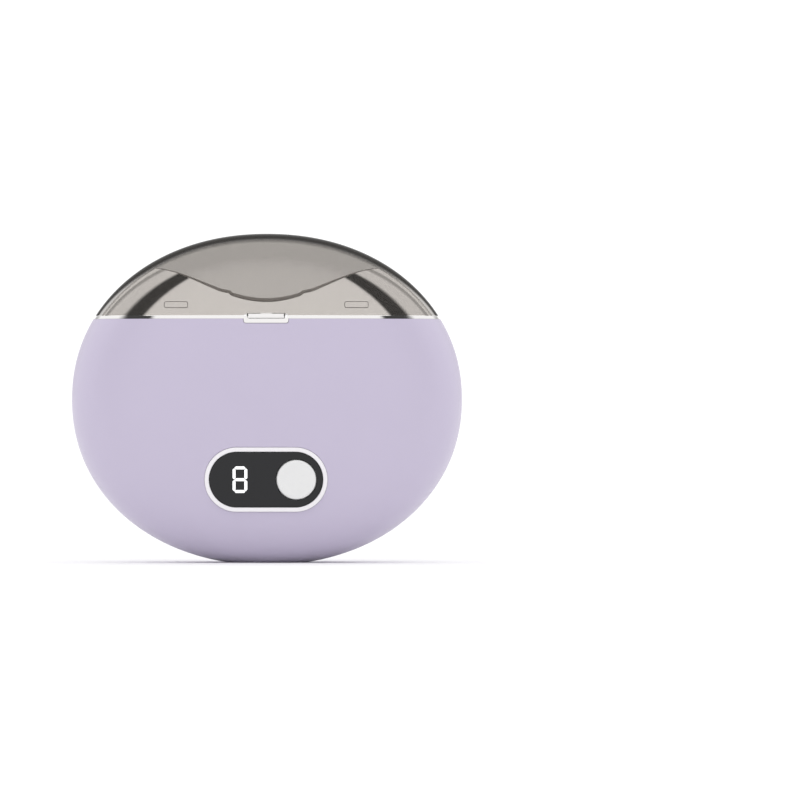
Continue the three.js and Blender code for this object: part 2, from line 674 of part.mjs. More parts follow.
const RING = { top: 17.6, lipBottom: 16, lipRadius: 12.6, grooveRadius: 14.5, floorTop: 12, floor: 10.8, bore: 11 };
const LUG = { halfWidth: 2, radius: 14.1, bottom: 13.6, top: 15.6 };
const PANE = { radius: 12.3, top: 16.8, bottom: 15.3, spigot: 13.1, spigotInside: 11.2 };
const QUARTERS = [0, 1, 2, 3].map((i) => (i * Math.PI) / 2);

// A block that reaches out from the port's axis in one direction.
function spoke(angle, halfWidth, fromRadius, toRadius, low, high) {
  const geometry = new THREE.BoxGeometry(toRadius - fromRadius, high - low, 2 * halfWidth);
  geometry.translate((fromRadius + toRadius) / 2, (low + high) / 2, 0);
  geometry.rotateY(angle);
  geometry.translate(0, 0, PORT_Z);
  return solid(geometry);
}

function portRing() {
  const body = turned([
    [RING.bore, RING.floor],
    [PORT_RADIUS, RING.floor],
    [PORT_RADIUS, RING.top],
    [RING.lipRadius, RING.top],
    [RING.lipRadius, RING.lipBottom],
    [RING.grooveRadius, RING.lipBottom],
    [RING.grooveRadius, RING.floorTop],
    [RING.bore, RING.floorTop],
  ]);
  const gaps = QUARTERS.map((angle) =>
    spoke(angle, LUG.halfWidth + 0.25, 11, RING.grooveRadius - 0.1, RING.lipBottom - 0.5, RING.top + 1),
  );
  return cut(body, ...gaps);
}

function portSeal() {
  return turned([
    [RING.bore + 0.2, RING.floorTop + 0.15],
    [PANE.radius, RING.floorTop + 0.15],
    [PANE.radius, PANE.spigot - 0.2],
    [RING.bore + 0.2, PANE.spigot - 0.2],
  ]);
}

function portCover() {
  const pane = turned([
    [0, PANE.bottom],
    [PANE.spigotInside, PANE.bottom],
    [PANE.spigotInside, PANE.spigot],
    [PANE.radius, PANE.spigot],
    [PANE.radius, PANE.top],
    [0, PANE.top],
  ]);
  const lugs = QUARTERS.map((angle) =>
    spoke(angle, LUG.halfWidth, PANE.radius - 0.6, LUG.radius, LUG.bottom, LUG.top),
  );
  return join(pane, ...lugs);
}

// ---- Screws -----------------------------------------------------------------------------------

// A pan-head screw with a slot. The head's underside is at the seat, and the shank runs the other way.
function screw(axis, seat, shankTo, at, headRadius = 1.7, shankRadius = 0.75) {
  const outward = Math.sign(seat - shankTo);
  const headTo = seat + outward * 1.1;
  const order = (a, b) => (a < b ? [a, b] : [b, a]);
  const head = rod(axis, headRadius, ...order(seat, headTo), at, 12);
  const shank = rod(axis, shankRadius, ...order(shankTo, seat + outward * 0.1), at, 8);
  const [x, y, z] = at;
  const slotMiddle = headTo;
  const half = { X: [0.5, 0.25, 3], Y: [3, 0.5, 0.25], Z: [3, 0.25, 0.5] }[axis];
  const centre = { X: [slotMiddle, y, z], Y: [x, slotMiddle, z], Z: [x, y, slotMiddle] }[axis];
  const slot = box(centre.map((c, i) => c - half[i]), centre.map((c, i) => c + half[i]));
  return join(head, shank).subtract(slot);
}

// ---- Assembly ---------------------------------------------------------------------------------

add("front_shell", frontShell(), LAVENDER);
add("rear_shell", rearShell(), LAVENDER);
add("bright_collar", collar(), CHROME);
add("clear_box", clearBox(), SMOKE_CLEAR);
add("release_latch", latch(), CHROME);
add("latch_spring", coil(0.95, 0.16, 4, LATCH.back + 0.1, -8.1, 0, 71.1), STEEL);

add("panel_bezel", bezel(), WHITE);
add("panel_window", windowPanel(), BLACK_GLOSS);
add("digit_module", digitModule(), WHITE);
add("power_button", buttonCap(), WHITE);
add("switch_plunger", rod("Y", 1.3, SWITCH_TOP, -13.9, [BUTTON.x, 0, PANEL_Z]), BLACK);
add("switch_body", switchBody(), BLACK);
add("control_board", controlBoard(), BOARD_GREEN);

add("charging_inlet", inletShell(), STEEL);
add("charging_board", box([-6.5, 1.8, 3.6], [6.5, 2.8, 11.4]), BOARD_GREEN);
add("battery_cell", cell(), BLUE_WRAP);
add("battery_tab_positive", cellTab(1), STEEL);
add("battery_tab_negative", cellTab(-1), STEEL);

add("cutter_housing", cutterHousing(), NYLON);
add("finger_guide", fingerGuide(), LAVENDER);
add("cutter_drum", cutterDrum(), STEEL);
add("drum_axle", rod("X", DRUM.axleRadius, -14.2, 17.4, [0, DRUM.y, DRUM.z], 20), STEEL);
add("drum_gear", gear(GEAR.drumTeeth, DRUM.z, DRUM.boreRadius), NYLON);
add("left_bush", bush(-1), BRASS);
add("right_bush", bush(1), BRASS);
add("gear_case", gearCase(), BLACK);
add("motor_can", motorCan(), DARK_STEEL);
add("motor_end_cap", motorEndCap(), BLACK);
add("motor_shaft", rod("X", MOTOR.shaftRadius, 14, MOTOR.from + 7, [0, DRUM.y, MOTOR_Z]), STEEL);
add("motor_pinion", gear(GEAR.pinionTeeth, MOTOR_Z, 1.2), BRASS);

add("port_ring", portRing(), VIOLET_CLEAR);
add("port_seal", portSeal(), SEAL_GREY);
add("port_cover", portCover(), VIOLET_CLEAR);

for (const [name, side] of [["left", -1], ["right", 1]]) {
  const boardAt = [side * BOARD.postX, 0, PANEL_Z];
  const housingAt = [side * HOUSING_SCREW.x, 0, HOUSING_SCREW.z];
  const collarAt = [side * COLLAR_SCREW.x, COLLAR_SCREW.y, 0];
  const motorAt = [0, DRUM.y + side * 5, MOTOR_Z];
  add(`board_screw_${name}`, screw("Y", BOARD.back + 0.1, BOARD.front - 2.5, boardAt), STEEL);
  add(`housing_screw_${name}`, screw("Y", HOUSING.front + HOUSING.wall + 0.1, -12, housingAt), STEEL);
  add(`collar_screw_${name}`, screw("Z", DECK_TOP + 0.1, 63.6, collarAt), STEEL);
  add(`motor_screw_${name}`, screw("X", GEAR_CASE.to - GEAR_CASE.wall - 0.1, MOTOR.from + 2, motorAt, 1.4), STEEL);
}

// Leads between the cell, the motor and the control board.
const WIRE = 0.45;
const route = (...points) => points.map((at) => new THREE.Vector3(...at));
const leads = {
  battery_lead_red: [route([26.4, 2.4, 26.2], [27.2, -1, 27.6], [25, -6.5, 28.6], [21, -9.4, 28.6], [18.5, -10.9, 28.6]), RED],
  battery_lead_black: [
    route([-25.4, 2.4, 26.2], [-26.4, -1, 27.6], [-24.6, -6.5, 28.6], [-21, -9.4, 28.6], [-18.5, -10.9, 28.6]),
    BLACK,
  ],
  motor_lead_red: [
    route([47, -4.9, 52], [46.9, -8, 47.6], [42, -11, 42], [33, -10.9, 37.6], [25.6, -10.2, 34.6], [21.4, -10.8, 34]),
    RED,
  ],
  motor_lead_black: [
    route([47, 3.1, 52], [46.9, -1.5, 44], [41, -8.6, 38.6], [32, -9.6, 33.6], [25.4, -10, 31.6], [21.4, -10.8, 31.4]),
    BLACK,
  ],
};
for (const [name, [points, look]] of Object.entries(leads)) {
  add(name, wireAlong(points, WIRE, 3 * points.length, 6), look);
}

export default trimmer;
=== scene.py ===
# %% [markdown]
# # A palm-sized electric nail trimmer
# The object is a flat oval pebble of two satin lavender half cases. On top sits a clear smoke-coloured
# box for the clippings, round a bright plated collar whose wall ends in a wave. The front has a display
# panel with one button, and the back has a round port with a clear twist-off cover over a finger pocket.
# This lesson builds the visible surface of every part round a frame that already fixes sizes and joints.

import math

import bmesh
import bpy
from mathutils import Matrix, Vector


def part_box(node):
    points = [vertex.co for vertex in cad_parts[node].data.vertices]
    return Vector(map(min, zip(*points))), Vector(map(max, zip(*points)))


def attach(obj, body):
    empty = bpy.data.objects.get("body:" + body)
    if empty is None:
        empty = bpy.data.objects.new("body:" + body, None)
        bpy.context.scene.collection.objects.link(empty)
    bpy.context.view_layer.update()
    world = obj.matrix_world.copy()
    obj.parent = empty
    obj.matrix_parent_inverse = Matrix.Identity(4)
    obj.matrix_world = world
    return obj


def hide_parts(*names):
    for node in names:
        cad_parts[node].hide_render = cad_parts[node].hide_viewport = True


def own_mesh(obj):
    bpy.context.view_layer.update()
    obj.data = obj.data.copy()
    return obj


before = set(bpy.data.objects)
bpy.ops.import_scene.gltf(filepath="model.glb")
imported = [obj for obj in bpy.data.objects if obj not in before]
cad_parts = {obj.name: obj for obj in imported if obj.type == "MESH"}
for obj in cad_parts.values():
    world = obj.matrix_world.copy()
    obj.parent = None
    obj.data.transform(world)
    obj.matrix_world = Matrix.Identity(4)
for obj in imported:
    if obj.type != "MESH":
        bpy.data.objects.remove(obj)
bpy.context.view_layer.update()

# %% [markdown]
# ## Driving sizes
# A product designer keeps few numbers and works the rest out. Everything below is in millimetres and is
# either read from the frame or is a wall or a gap that a moulder would choose. Meshes are drawn in
# millimetres and turned into metres as they are made.

# %% Sizes read from the frame
MM = 0.001


def corners_of(node):
    """The lowest and the highest corner of a frame part, in millimetres."""
    low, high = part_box(node)
    return Vector(low) / MM, Vector(high) / MM


def middle_of(node):
    low, high = corners_of(node)
    return (low + high) / 2


HALF_WIDTH = corners_of("front_shell")[1].x
HALF_DEPTH = corners_of("rear_shell")[1].y
TOP = corners_of("clear_box")[1].z
FOOT_CUT = 0.8
HALF_HEIGHT = (TOP + FOOT_CUT) / 2
CENTRE_Z = TOP - HALF_HEIGHT
OUTLINE_POWER = 2.1
FACE_POWER = 7
DECK_TOP = corners_of("clear_box")[0].z - 0.2
SPLIT_Z = corners_of("front_shell")[1].z + 0.2
PORT_X, PORT_Z = middle_of("port_ring").x, middle_of("port_ring").z
PORT_RADIUS = (corners_of("port_ring")[1].x - corners_of("port_ring")[0].x) / 2
PANEL_Z = middle_of("panel_bezel").z
BUTTON_X = middle_of("power_button").x
OUTSIDE = 30
print(f"half sizes {HALF_WIDTH:.2f} {HALF_DEPTH:.2f} {HALF_HEIGHT:.2f}, port at z {PORT_Z:.2f}")

# %% [markdown]
# ## Camera and studio
# A product shot is taken with a long lens from far away, level with the object, so the oval isn't
# distorted. The camera stands a little to the right of the object. The studio is a white room: a white
# floor and white all round. What makes bright plating look like metal is that it also reflects something
# dark, so the room has two tall dark flags, one on each side of the camera, and a paler pair behind the
# object. Only reflections see them.

# %% Camera
CAMERA_X, CAMERA_Y, CAMERA_Z = 37.5, -2400, 45.7
LENS = 383

eye = bpy.data.objects.new("studio_camera", bpy.data.cameras.new("studio_camera"))
bpy.context.scene.collection.objects.link(eye)
eye.location = Vector((CAMERA_X, CAMERA_Y, CAMERA_Z)) * MM
eye.rotation_euler = (math.pi / 2, 0, 0)
eye.data.sensor_width = 36
eye.data.lens = LENS
eye.data.clip_end = 100
bpy.context.scene.camera = eye
bpy.context.scene.view_settings.view_transform = "Standard"
bpy.context.scene.view_settings.look = "None"
print("camera lens", LENS, "mm at", [round(c, 3) for c in eye.location])

# %% [markdown]
# ## Writing node trees as sums
# A node tree drawn by hand is hard to read as text. Two small classes make it read like algebra: a value
# is one output of a node, and adding or multiplying it adds the Math node for that. Every other node
# comes from one method that takes its type, its settings and what goes into its sockets.

# %% Node helpers


class Value:
    """One output of a node. A sum written with it adds Math nodes to its tree."""

    def __init__(self, tree, socket):
        self.tree = tree
        self.socket = socket

    def math(self, operation, *terms):
        return self.tree.node("ShaderNodeMath", {"operation": operation}, dict(enumerate(terms)))

    def __add__(self, other):
        return self.math("ADD", self, other)

    __radd__ = __add__

    def __sub__(self, other):
        return self.math("SUBTRACT", self, other)

    def __rsub__(self, other):
        return self.math("SUBTRACT", other, self)

    def __mul__(self, other):
        return self.math("MULTIPLY", self, other)

    __rmul__ = __mul__

    def __truediv__(self, other):
        return self.math("DIVIDE", self, other)

    def __pow__(self, power):
        return self.math("POWER", self, power)

    def __abs__(self):
        return self.math("ABSOLUTE", self)

    def named(self, output):
        """Another output of the same node."""
        return Value(self.tree, self.socket.node.outputs[output])


class Tree:
    """A node tree written as calls."""

    def __init__(self, owner):
        self.owner = owner

    def node(self, kind, settings=None, inputs=None):
        """Adds a node: its settings first, then the values or links of its sockets."""
        made = self.owner.nodes.new(kind)
        for name, setting in (settings or {}).items():
            setattr(made, name, setting)
        for place, value in (inputs or {}).items():
            if isinstance(value, Value):
                self.owner.links.new(value.socket, made.inputs[place])
            else:
                made.inputs[place].default_value = value
        return Value(self, made.outputs[0]) if made.outputs else made

    def smooth_step(self, value, low, high):
        """0 below low, 1 above high, and a soft rise between them."""
        settings = {"interpolation_type": "SMOOTHSTEP"}
        return self.node("ShaderNodeMapRange", settings, {0: value, 1: low, 2: high})

    def blend(self, share, first, second):
        """The first colour where the share is 0, the second where it is 1."""
        mixed = self.node("ShaderNodeMix", {"data_type": "RGBA"}, {0: share, 6: first, 7: second})
        return Value(self, mixed.socket.node.outputs[2])

# %% [markdown]
# ## The room's light
# The world shader is the room. The camera sees plain white, and the light that falls on matt surfaces is
# a little stronger from overhead. Reflections see white too, but for two tall dark flags, one on each
# side of the camera, from `FLAG_NEAR` to `FLAG_FAR` degrees round the upright axis. A surface turned
# by half such an angle reflects a flag, so the rolled ends of the plated wall show one dark stripe each.
# A narrower and paler pair stands behind the object, so that its back shows stripes too.

# %% Studio world
ROOM_LIGHT = 1.14
UP_SHARE = 0.16
FLAG_DARK = 0.06
FLAG_NEAR, FLAG_NEAR_SOFT = 18, 23
FLAG_FAR, FLAG_FAR_SOFT = 50, 76
BACK_FLAG_WIDTH, BACK_FLAG_STRENGTH = 0.6, 0.5


def studio_world():
    world = bpy.data.worlds.new("studio_world")
    world.use_nodes = True
    world.node_tree.nodes.clear()
    world.cycles.sampling_method = "NONE"
    room = Tree(world.node_tree)
    direction = room.node("ShaderNodeTexCoord").named("Generated")
    parts = room.node("ShaderNodeSeparateXYZ", inputs={0: direction})
    beside = abs(parts.named("X"))
    angle = beside.math("ARCTAN2", beside, abs(parts.named("Y"))) * (180 / math.pi)
    behind = parts.named("Y").math("GREATER_THAN", parts.named("Y"), 0.0)
    narrowed = 1 - behind * (1 - BACK_FLAG_WIDTH)
    inside = room.smooth_step(angle, FLAG_NEAR, FLAG_NEAR_SOFT)
    outside = room.smooth_step(angle, narrowed * FLAG_FAR, narrowed * FLAG_FAR_SOFT)
    flag = inside * (1 - outside) * (1 - behind * (1 - BACK_FLAG_STRENGTH))
    paths = room.node("ShaderNodeLightPath")
    reflected, scattered = paths.named("Is Glossy Ray"), paths.named("Is Diffuse Ray")
    overhead = scattered * (parts.named("Z") * 2 - 1) * UP_SHARE
    level = 1 - flag * reflected * (1 - FLAG_DARK) + overhead
    glow = room.node("ShaderNodeBackground", inputs={"Color": (1, 1, 1, 1), "Strength": level * ROOM_LIGHT})
    room.node("ShaderNodeOutputWorld", inputs={"Surface": glow})
    bpy.context.scene.world = world


studio_world()

# %% [markdown]
# ## Finishes
# Each finish on the object is one material with its own small function. They all start from `plastic`,
# which gives a colour that drifts very slightly, a roughness that isn't even, and a fine moulded grain as
# bump. Patterns read Object coordinates, in metres, so they stay put when a part moves.

# %% Finish helper


def grain(tree, scale, detail=3):
    """Noise from 0 to 1 on the part's own coordinates, with that many grains per millimetre."""
    at = tree.node("ShaderNodeTexCoord").named("Object")
    return tree.node("ShaderNodeTexNoise", inputs={"Vector": at, "Scale": scale / MM, "Detail": detail})


def new_material(name):
    material = bpy.data.materials.new(name)
    material.use_nodes = True
    material.node_tree.nodes.clear()
    return material, Tree(material.node_tree)


def bumped(tree, height, strength, distance):
    """A normal shaken by a height, with the bump's depth in millimetres."""
    sizes = {"Strength": strength, "Distance": distance * MM, "Height": height}
    return tree.node("ShaderNodeBump", inputs=sizes)


def dressed(material, tree, inputs):
    """Ends a material with one principled shader, and returns it."""
    body = tree.node("ShaderNodeBsdfPrincipled", inputs=inputs)
    tree.node("ShaderNodeOutputMaterial", inputs={"Surface": body})
    return material


def plastic(name, colour, roughness, drift=0.05, grain_size=6, grain_depth=0.004, spread=0.06, **sockets):
    """A moulded or turned surface: colour drift, uneven roughness and fine grain."""
    material, tree = new_material(name)
    slow = grain(tree, 0.06, 2)
    fine = grain(tree, grain_size)
    darker = (*[c * (1 - drift) for c in colour], 1)
    lighter = (*[min(1, c * (1 + drift)) for c in colour], 1)
    fixed = {key.replace("_", " "): value for key, value in sockets.items()}
    inputs = {
        "Base Color": tree.blend(slow, darker, lighter),
        "Roughness": roughness + (fine - 0.5) * spread,
        "Normal": bumped(tree, fine, 0.25, grain_depth),
        **fixed,
    }
    return dressed(material, tree, inputs)


# %% [markdown]
# ### Case, plating and panel
# The case is injection moulded with a satin skin over a pearl lavender: a soft sheen at grazing angles and
# no sharp highlight. The collar is vacuum plated, so it is nearly a mirror, with slight waviness from the
# plastic below. The panel is glossy black acrylic, round it lies a gloss white frame.

# %% Case, plating and panel finishes
lavender = plastic(
    "satin_lavender", (0.522, 0.473, 0.610), 0.42, drift=0.012, Coat_Weight=0.12, Coat_Roughness=0.3,
    Sheen_Weight=0.12, Sheen_Roughness=0.4,
)
# A darker copy of the lavender for the dish's faces: painted shade in the hollow.
dish_painted_shade = plastic("dish_painted_shade", (0.462, 0.415, 0.540), 0.42, drift=0.012)
lug_silver = plastic("lug_silver", (0.66, 0.61, 0.70), 0.25, 0.02, 3, 0.002, 0.04, Metallic=0.2)
pocket_lavender = plastic("pocket_lavender", (0.80, 0.73, 0.97), 0.4, drift=0.01)
guide_violet = plastic("guide_violet", (0.31, 0.27, 0.385), 0.4, drift=0.02)
# The band, deck and latch plating is a dimmed copy: painted shade that tones down their reflection.
plating = plastic("mirror_plating", (0.8, 0.785, 0.78), 0.07, 0.01, 0.5, 0.003, 0.02, Metallic=1.0)
# The wall's outside keeps the brighter copy of the same plating.
wall_plating = plastic("wall_plating", (0.93, 0.93, 0.93), 0.07, 0.01, 0.5, 0.003, 0.02, Metallic=1.0)
# A dark grey for the wave's rolled edge and the pad outlines: painted shade, not a plating colour.
edge_painted_shade = plastic("rolled_edge_painted_shade", (0.25, 0.235, 0.225), 0.4, 0.02, 1.5, 0.003, 0.05)
inner_plating = plastic("inner_plating", (0.33, 0.32, 0.305), 0.35, 0.02, 1.5, 0.003, 0.05, Metallic=0.3)
gloss_white = plastic("gloss_white", (0.83, 0.81, 0.84), 0.22, 0.006, 4, 0.001, 0.03, Coat_Weight=0.3)
button_white = plastic("button_white", (0.745, 0.745, 0.745), 0.3, 0.006, 4, 0.001, 0.03, Coat_Weight=0.3)
digit_white = plastic(
    "lit_digit", (0.9, 0.9, 0.92), 0.4, 0.005, Emission_Color=(1, 1, 1, 1), Emission_Strength=0.5,
)
black_acrylic = plastic(
    "black_acrylic", (0.003, 0.003, 0.005), 0.06, 0.1, 3, 0.0004, 0.02, Specular_IOR_Level=0.42,
)
print("case and panel finishes ready")

# %% [markdown]
# ### Metals, rubber and the parts inside
# Turned and drawn metal has a brushed grain and is rougher than plating. Nylon is dull and creamy, shrink
# wrap has a soft shine, and the circuit board shows faint tracks under its green lacquer.

# %% Inner finishes
steel = plastic("satin_steel", (0.55, 0.56, 0.57), 0.28, 0.04, 2.5, 0.004, 0.12, Metallic=1.0)
dark_steel = plastic("zinc_steel", (0.30, 0.31, 0.32), 0.36, 0.08, 1.2, 0.004, 0.14, Metallic=1.0)
brass = plastic("turned_brass", (0.70, 0.52, 0.25), 0.3, 0.05, 2, 0.004, 0.1, Metallic=1.0)
nylon = plastic("natural_nylon", (0.78, 0.76, 0.70), 0.5, 0.02, 3)
black_plastic = plastic("black_moulding", (0.025, 0.025, 0.027), 0.5, 0.15, 4, 0.01)
cell_wrap = plastic("cell_wrap", (0.06, 0.13, 0.34), 0.33, 0.06, 0.7, 0.02, Coat_Weight=0.4)
seal_rubber = plastic("seal_rubber", (0.17, 0.15, 0.19), 0.7, 0.06, 5, 0.01)
red_insulation = plastic("red_insulation", (0.42, 0.03, 0.03), 0.45, 0.05, 2, 0.01)
black_insulation = plastic("black_insulation", (0.02, 0.02, 0.02), 0.45, 0.05, 2, 0.01)


def board_lacquer():
    """Green lacquer over copper tracks, which show as slightly raised paler lines."""
    material, tree = new_material("board_lacquer")
    at = tree.node("ShaderNodeTexCoord").named("Object")
    cells = {"feature": "DISTANCE_TO_EDGE", "distance": "EUCLIDEAN"}
    cell = tree.node("ShaderNodeTexVoronoi", cells, {"Vector": at, "Scale": 0.35 / MM})
    edge = Value(tree, cell.socket.node.outputs["Distance"])
    track = 1 - tree.smooth_step(edge, 0.03, 0.06)
    inputs = {
        "Base Color": tree.blend(track, (0.03, 0.16, 0.075, 1), (0.10, 0.32, 0.14, 1)),
        "Roughness": 0.34 + grain(tree, 2) * 0.12,
        "Normal": bumped(tree, track, 0.5, 0.03),
    }
    return dressed(material, tree, inputs)


board_green = board_lacquer()

# %% [markdown]
# ### Clear plastics
# A tinted clear moulding dims what is behind it at each surface, and looks darkest where the eye looks
# along its wall, at the rolled rim. Full refraction would be slow and would bend the view of the collar,
# which the thin real walls hardly do. So each surface is a mix of see-through tint and a dark gloss. The
# share of gloss is small where the surface faces the eye and takes over where it turns away. Only the
# outer surface has that dark rim, so the inner one has its own finish. Light on its way to the parts
# inside meets less of the gloss than the eye does, as a real tint passes light that it scatters.
# The smoke box is thickest at its crown, so there the rim starts earlier than at the foot of its sides.

# %% Clear finishes
LIGHT_SHARE = 0.3
CROWN_DEPTH = 6
SMOKE_INDEX, VIOLET_INDEX = 1.03, 1.3


def clear_plastic(name, tint, body_colour, share_of, index):
    """See-through tint, mixed with a dark gloss by a share that depends on how the surface faces."""
    material, tree = new_material(name)
    facing = tree.node("ShaderNodeLayerWeight", inputs={"Blend": 0.5}).named("Facing")
    seen = tree.node("ShaderNodeLightPath").named("Is Camera Ray")
    share = share_of(tree, facing) * (LIGHT_SHARE + seen * (1 - LIGHT_SHARE))
    see_through = tree.node("ShaderNodeBsdfTransparent", inputs={"Color": (*tint, 1)})
    lighter = (*[c * 1.1 for c in body_colour], 1)
    inputs = {
        "Base Color": tree.blend(grain(tree, 0.05, 1), (*body_colour, 1), lighter),
        "Roughness": 0.06 + grain(tree, 0.4, 1) * 0.04,
        "IOR": index,
    }
    gloss_body = tree.node("ShaderNodeBsdfPrincipled", inputs=inputs)
    mixed = tree.node("ShaderNodeMixShader", inputs={0: share, 1: see_through, 2: gloss_body})
    tree.node("ShaderNodeOutputMaterial", inputs={"Surface": mixed})
    return material


def height_share(tree, low, high):
    """0 at one height and 1 at another, in millimetres."""
    at = tree.node("ShaderNodeTexCoord").named("Object")
    up = tree.node("ShaderNodeSeparateXYZ", inputs={0: at}).named("Z")
    return tree.smooth_step(up, low * MM, high * MM)


def smoke_skin_share(tree, facing):
    """The outer surface: thin dark rims at the foot of the sides, a broad dark rim at the crown."""
    crown = height_share(tree, DECK_TOP, TOP - CROWN_DEPTH)
    rim = tree.smooth_step(facing, 0.68 - 0.22 * crown, 0.80 - 0.08 * crown)
    return 0.225 + tree.smooth_step(facing, 0.0, 0.2) * 0.08 + rim * 0.65


def steady_share(base, rim=0.0, low=0.55, high=0.9):
    """One share everywhere, and more where the surface turns away."""
    return lambda tree, facing: base + tree.smooth_step(facing, low, high) * rim


SMOKE_TINT, SMOKE_BODY = (1.0, 0.985, 0.97), (0.030, 0.028, 0.026)
VIOLET_TINT, VIOLET_BODY = (0.93, 0.91, 0.96), (0.10, 0.082, 0.135)
RING_BODY = (0.21, 0.178, 0.255)
smoke = clear_plastic("smoke_clear", SMOKE_TINT, SMOKE_BODY, smoke_skin_share, SMOKE_INDEX)
smoke_inside = clear_plastic(
    "smoke_clear_inside", SMOKE_TINT, SMOKE_BODY, steady_share(0.215), SMOKE_INDEX,
)
violet = clear_plastic("violet_clear", VIOLET_TINT, VIOLET_BODY, steady_share(0.08, 0.5), VIOLET_INDEX)
violet_ring = clear_plastic(
    "violet_ring_clear", VIOLET_TINT, RING_BODY, steady_share(0.55, 0.3), VIOLET_INDEX,
)
print("clear finishes ready")

# %% [markdown]
# ## Drawing solids
# Most mouldings here are a row of loops skinned into a closed solid: a panel frame is a pill shape at
# several depths, a port ring is a circle at several radii. `loft` does that for any loops. Corners are
# rounded in the loop's profile, which is what a mould maker's radius does, rather than by a later bevel.

# %% Solids


def add_object(name, mesh):
    piece = bpy.data.objects.new(name, mesh)
    bpy.context.scene.collection.objects.link(piece)
    return piece


def loft(name, loops, ring=False):
    """A closed solid through loops of points: capped at its ends, or joined end to start."""
    shape = bmesh.new()
    rows = [[shape.verts.new(Vector(point) * MM) for point in loop] for loop in loops]
    following = rows[1:] + ([rows[0]] if ring else [])
    for row, after in zip(rows, following):
        for i, corner in enumerate(row):
            j = (i + 1) % len(row)
            shape.faces.new((corner, row[j], after[j], after[i]))
    if not ring:
        shape.faces.new(rows[0])
        shape.faces.new(rows[-1])
    bmesh.ops.recalc_face_normals(shape, faces=shape.faces)
    mesh = bpy.data.meshes.new(name)
    shape.to_mesh(mesh)
    shape.free()
    return add_object(name, mesh)


def rounded(corners, radius, steps=6):
    """A closed flat outline whose corners are turned into short curves."""
    outline = []
    for i, corner in enumerate(corners):
        here = Vector(corner)
        to_before = Vector(corners[i - 1]) - here
        to_after = Vector(corners[(i + 1) % len(corners)]) - here
        reach = min(radius, 0.49 * to_before.length, 0.49 * to_after.length)
        start = here + to_before.normalized() * reach
        end = here + to_after.normalized() * reach
        for step in range(steps + 1):
            t = step / steps
            outline.append(start * (1 - t) ** 2 + here * 2 * t * (1 - t) + end * t * t)
    return outline


def bar_outline(half_length, half_height, x, z, radius=None, steps=24):
    """A rectangle with round corners in X and Z, or with round ends when no radius is given."""
    radius = half_height if radius is None else radius
    outline = []
    for quarter, (right, up) in enumerate([(1, -1), (1, 1), (-1, 1), (-1, -1)]):
        for step in range(steps + 1):
            angle = math.pi / 2 * (quarter - 1 + step / steps)
            across = right * (half_length - radius) + radius * math.cos(angle)
            rise = up * (half_height - radius) + radius * math.sin(angle)
            outline.append((x + across, z + rise))
    return outline


def circle_outline(radius, x, z, steps=96):
    turns = [2 * math.pi * i / steps for i in range(steps)]
    return [(x + radius * math.cos(turn), z + radius * math.sin(turn)) for turn in turns]


def at_depth(outline, y):
    return [(x, y, z) for x, z in outline]


def prism(name, outline, front, back):
    """A flat outline in X and Z made solid between two depths."""
    return loft(name, [at_depth(outline, front), at_depth(outline, back)])


def block(name, low, high):
    corners = [(low[0], low[2]), (high[0], low[2]), (high[0], high[2]), (low[0], high[2])]
    return prism(name, corners, low[1], high[1])


def turned(name, profile, x=PORT_X, z=PORT_Z, ring=True, steps=144):
    """A profile of (radius, depth) turned about an axis that runs front to back."""
    loops = [at_depth(circle_outline(radius, x, z, steps), y) for radius, y in profile]
    return loft(name, loops, ring)


def framed(name, profile, half_length, half_height, x, z, ring=True):
    """A profile of (inset, depth) swept round a pill shape."""
    loops = [at_depth(bar_outline(half_length - i, half_height - i, x, z), y) for i, y in profile]
    return loft(name, loops, ring)


def rod(name, axis, radius, start, end, centre, steps=48):
    """A round rod along X, Y or Z through a centre."""
    loops = []
    for along in (start, end):
        loop = []
        for across, up in circle_outline(radius, 0, 0, steps):
            point = [across, up]
            point.insert(axis, along)
            others = [0 if i == axis else centre[i] for i in range(3)]
            loop.append([p + o for p, o in zip(point, others)])
        loops.append(loop)
    return loft(name, loops)


# %% [markdown]
# ## Joining and cutting
# The Boolean modifier does what a saw or a mould insert does. Each cut is settled at once: the modifier's
# result becomes the piece's plain mesh, so that nothing live is left behind. Shading is smooth but for
# edges sharper than `CREASE`.

# %% Joining and cutting
CREASE = math.radians(30)


def settle(piece):
    """Turns what the piece's modifiers make into its plain mesh."""
    bpy.context.view_layer.update()
    seen = piece.evaluated_get(bpy.context.evaluated_depsgraph_get())
    mesh = bpy.data.meshes.new_from_object(seen)
    piece.modifiers.clear()
    piece.data = mesh
    mesh.name = piece.name


def with_tool(piece, operation, tools):
    for tool in tools:
        boolean = piece.modifiers.new("tool", "BOOLEAN")
        boolean.operation = operation
        boolean.solver = "MANIFOLD"
        boolean.object = tool
        settle(piece)
        bpy.data.objects.remove(tool)
    return piece


def cut(piece, *tools):
    return with_tool(piece, "DIFFERENCE", tools)


def join(piece, *tools):
    return with_tool(piece, "UNION", tools)


def keep_inside(piece, *tools):
    return with_tool(piece, "INTERSECT", tools)


def faced(piece, finishes, choose):
    """Gives a piece several finishes, and each face the one that a rule on its place picks."""
    piece.data.materials.clear()
    for finish in finishes:
        piece.data.materials.append(finish)
    for face in piece.data.polygons:
        face.material_index = choose(face.center / MM, face.normal)
    return piece


def finished(piece, material, body, slot, *nodes):
    """Gives a piece its finish and shading and its place among the frame's parts."""
    mesh = piece.data
    if material is not None:
        mesh.materials.clear()
        mesh.materials.append(material)
    mesh.shade_smooth()
    mesh.set_sharp_from_angle(angle=CREASE)
    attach(piece, body)
    if nodes:
        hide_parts(*nodes)
    print(f"{piece.name}: {len(mesh.polygons)} faces")
    return piece


# %% [markdown]
# ## The pebble, by rule
# The case, the clear box and the plated wall are all layers of one pebble: from the front it is nearly an
# ellipse, and its front and back are flat until they roll over near the outline. That is a rule, so
# Geometry Nodes draw it. A unit ball's points are moved to where the rule puts them, and the sizes are
# named inputs, so each layer is the same tree with other numbers.

# %% Geometry Nodes helpers


